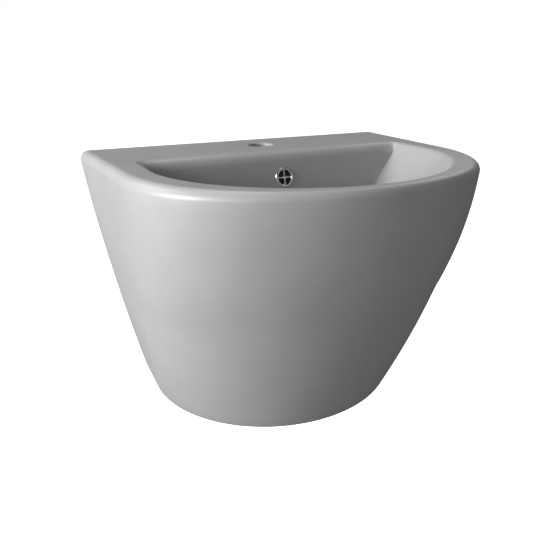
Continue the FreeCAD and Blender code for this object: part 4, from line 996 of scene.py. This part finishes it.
def stage_floor():
    bm = bmesh.new()
    bmesh.ops.create_circle(bm, cap_ends=True, segments=96, radius=FLOOR_R)
    floor = new_object(placed(bm, (0, 0, -FLOOR_BELOW)), "floor")
    paint = plain_finish("pale_floor", (0.90, 0.90, 0.90), (0.93, 0.93, 0.93), (0.7, 0.8),
                         grain=(2, 9, 60), lift=(0.02, 0.0005), specular=0.2)
    shader = paint.node_tree.nodes["Principled BSDF"]
    shader.inputs["Emission Color"].default_value = WHITE
    shader.inputs["Emission Strength"].default_value = 1.0
    paint.cycles.emission_sampling = "NONE"
    floor.visible_diffuse = floor.visible_glossy = floor.visible_shadow = False
    floor.data.materials.append(paint)
    return floor


print("floor:", stage_floor().name)

# %% [markdown]
# ## Light
# Satin glaze shows its form by broad, soft changes of tone, so the light comes from wide discs. A
# strong one at the left leaves the right side and the bowl's back dark, and weak ones brighten the
# front, the ledge and the right side a little.

# %% Light
SOFTBOX_SIZE, SOFTBOX_DISTANCE = 1.2, 2.4
LIT_POINT = Vector((0.0, -0.2, -0.05))


def softbox(name, power, azimuth, elevation):
    """An area light; azimuth is degrees from -Y towards -X, seen from above."""
    light = bpy.data.lights.new(name, "AREA")
    light.shape, light.size, light.energy = "DISK", SOFTBOX_SIZE, power
    lamp = bpy.data.objects.new(name, light)
    a, e = math.radians(azimuth), math.radians(elevation)
    away = Vector((-math.sin(a) * math.cos(e), -math.cos(a) * math.cos(e), math.sin(e)))
    lamp.location = LIT_POINT + away * SOFTBOX_DISTANCE
    lamp.rotation_euler = away.to_track_quat("Z", "Y").to_euler()
    bpy.context.scene.collection.objects.link(lamp)


softbox("side_softbox", 86.0, 90.0, 12.0)
softbox("front_side_softbox", 13.0, 60.0, 12.0)
softbox("back_side_softbox", 17.5, 126.0, 40.0)
softbox("back_softbox", 11.6, 180.0, 65.0)
softbox("far_softbox", 5.5, -120.0, 34.0)
print("lights:", len(bpy.data.lights))

# %% [markdown]
# ## World
# A catalogue's white background hardly lights the object. A Light Path node tells which kind of ray
# asks for the world: the camera sees white, a diffuse ray gets a third of it, and a glossy ray still
# less, so the glaze doesn't turn milky.

# %% World
def backdrop(glow, mirrored):
    """White behind the basin; glow is its light on the basin, and mirrored what gloss reflects."""
    world = bpy.data.worlds.new("white_backdrop")
    world.use_nodes = True
    nodes, links = world.node_tree.nodes, world.node_tree.links
    path = nodes.new("ShaderNodeLightPath")
    below = nodes["Background"]
    below.inputs["Color"].default_value = WHITE
    below.inputs["Strength"].default_value = glow
    for ray, strength in (("Is Glossy Ray", mirrored), ("Is Camera Ray", 1.0)):
        seen = nodes.new("ShaderNodeBackground")
        seen.inputs["Color"].default_value = WHITE
        seen.inputs["Strength"].default_value = strength
        mix = nodes.new("ShaderNodeMixShader")
        links.new(path.outputs[ray], mix.inputs["Fac"])
        links.new(below.outputs[0], mix.inputs[1])
        links.new(seen.outputs["Background"], mix.inputs[2])
        below = mix
    links.new(below.outputs[0], nodes["World Output"].inputs["Surface"])
    bpy.context.scene.world = world


backdrop(glow=0.325, mirrored=0.09)
bpy.context.scene.view_settings.view_transform = "Standard"

# %% [markdown]
# ## Camera
# The camera stands in front, a little to the left, and looks down on the rim. Its place, turn and
# lens were fitted to the basin's outline in the picture, and a small shift frames it.

# %% Camera
def photo_camera():
    lens = bpy.data.cameras.new("photo_camera")
    lens.sensor_width, lens.lens = 36.0, 36.51
    lens.shift_x, lens.shift_y = -0.0375, -0.0032
    camera = bpy.data.objects.new("photo_camera", lens)
    camera.location = (-0.3450, -0.8158, 0.1999)
    camera.rotation_euler = (math.pi / 2 - 0.3683, -0.0023, -0.4971)
    bpy.context.scene.collection.objects.link(camera)
    bpy.context.scene.camera = camera
    return camera


print("camera at", [round(v, 3) for v in photo_camera().location])
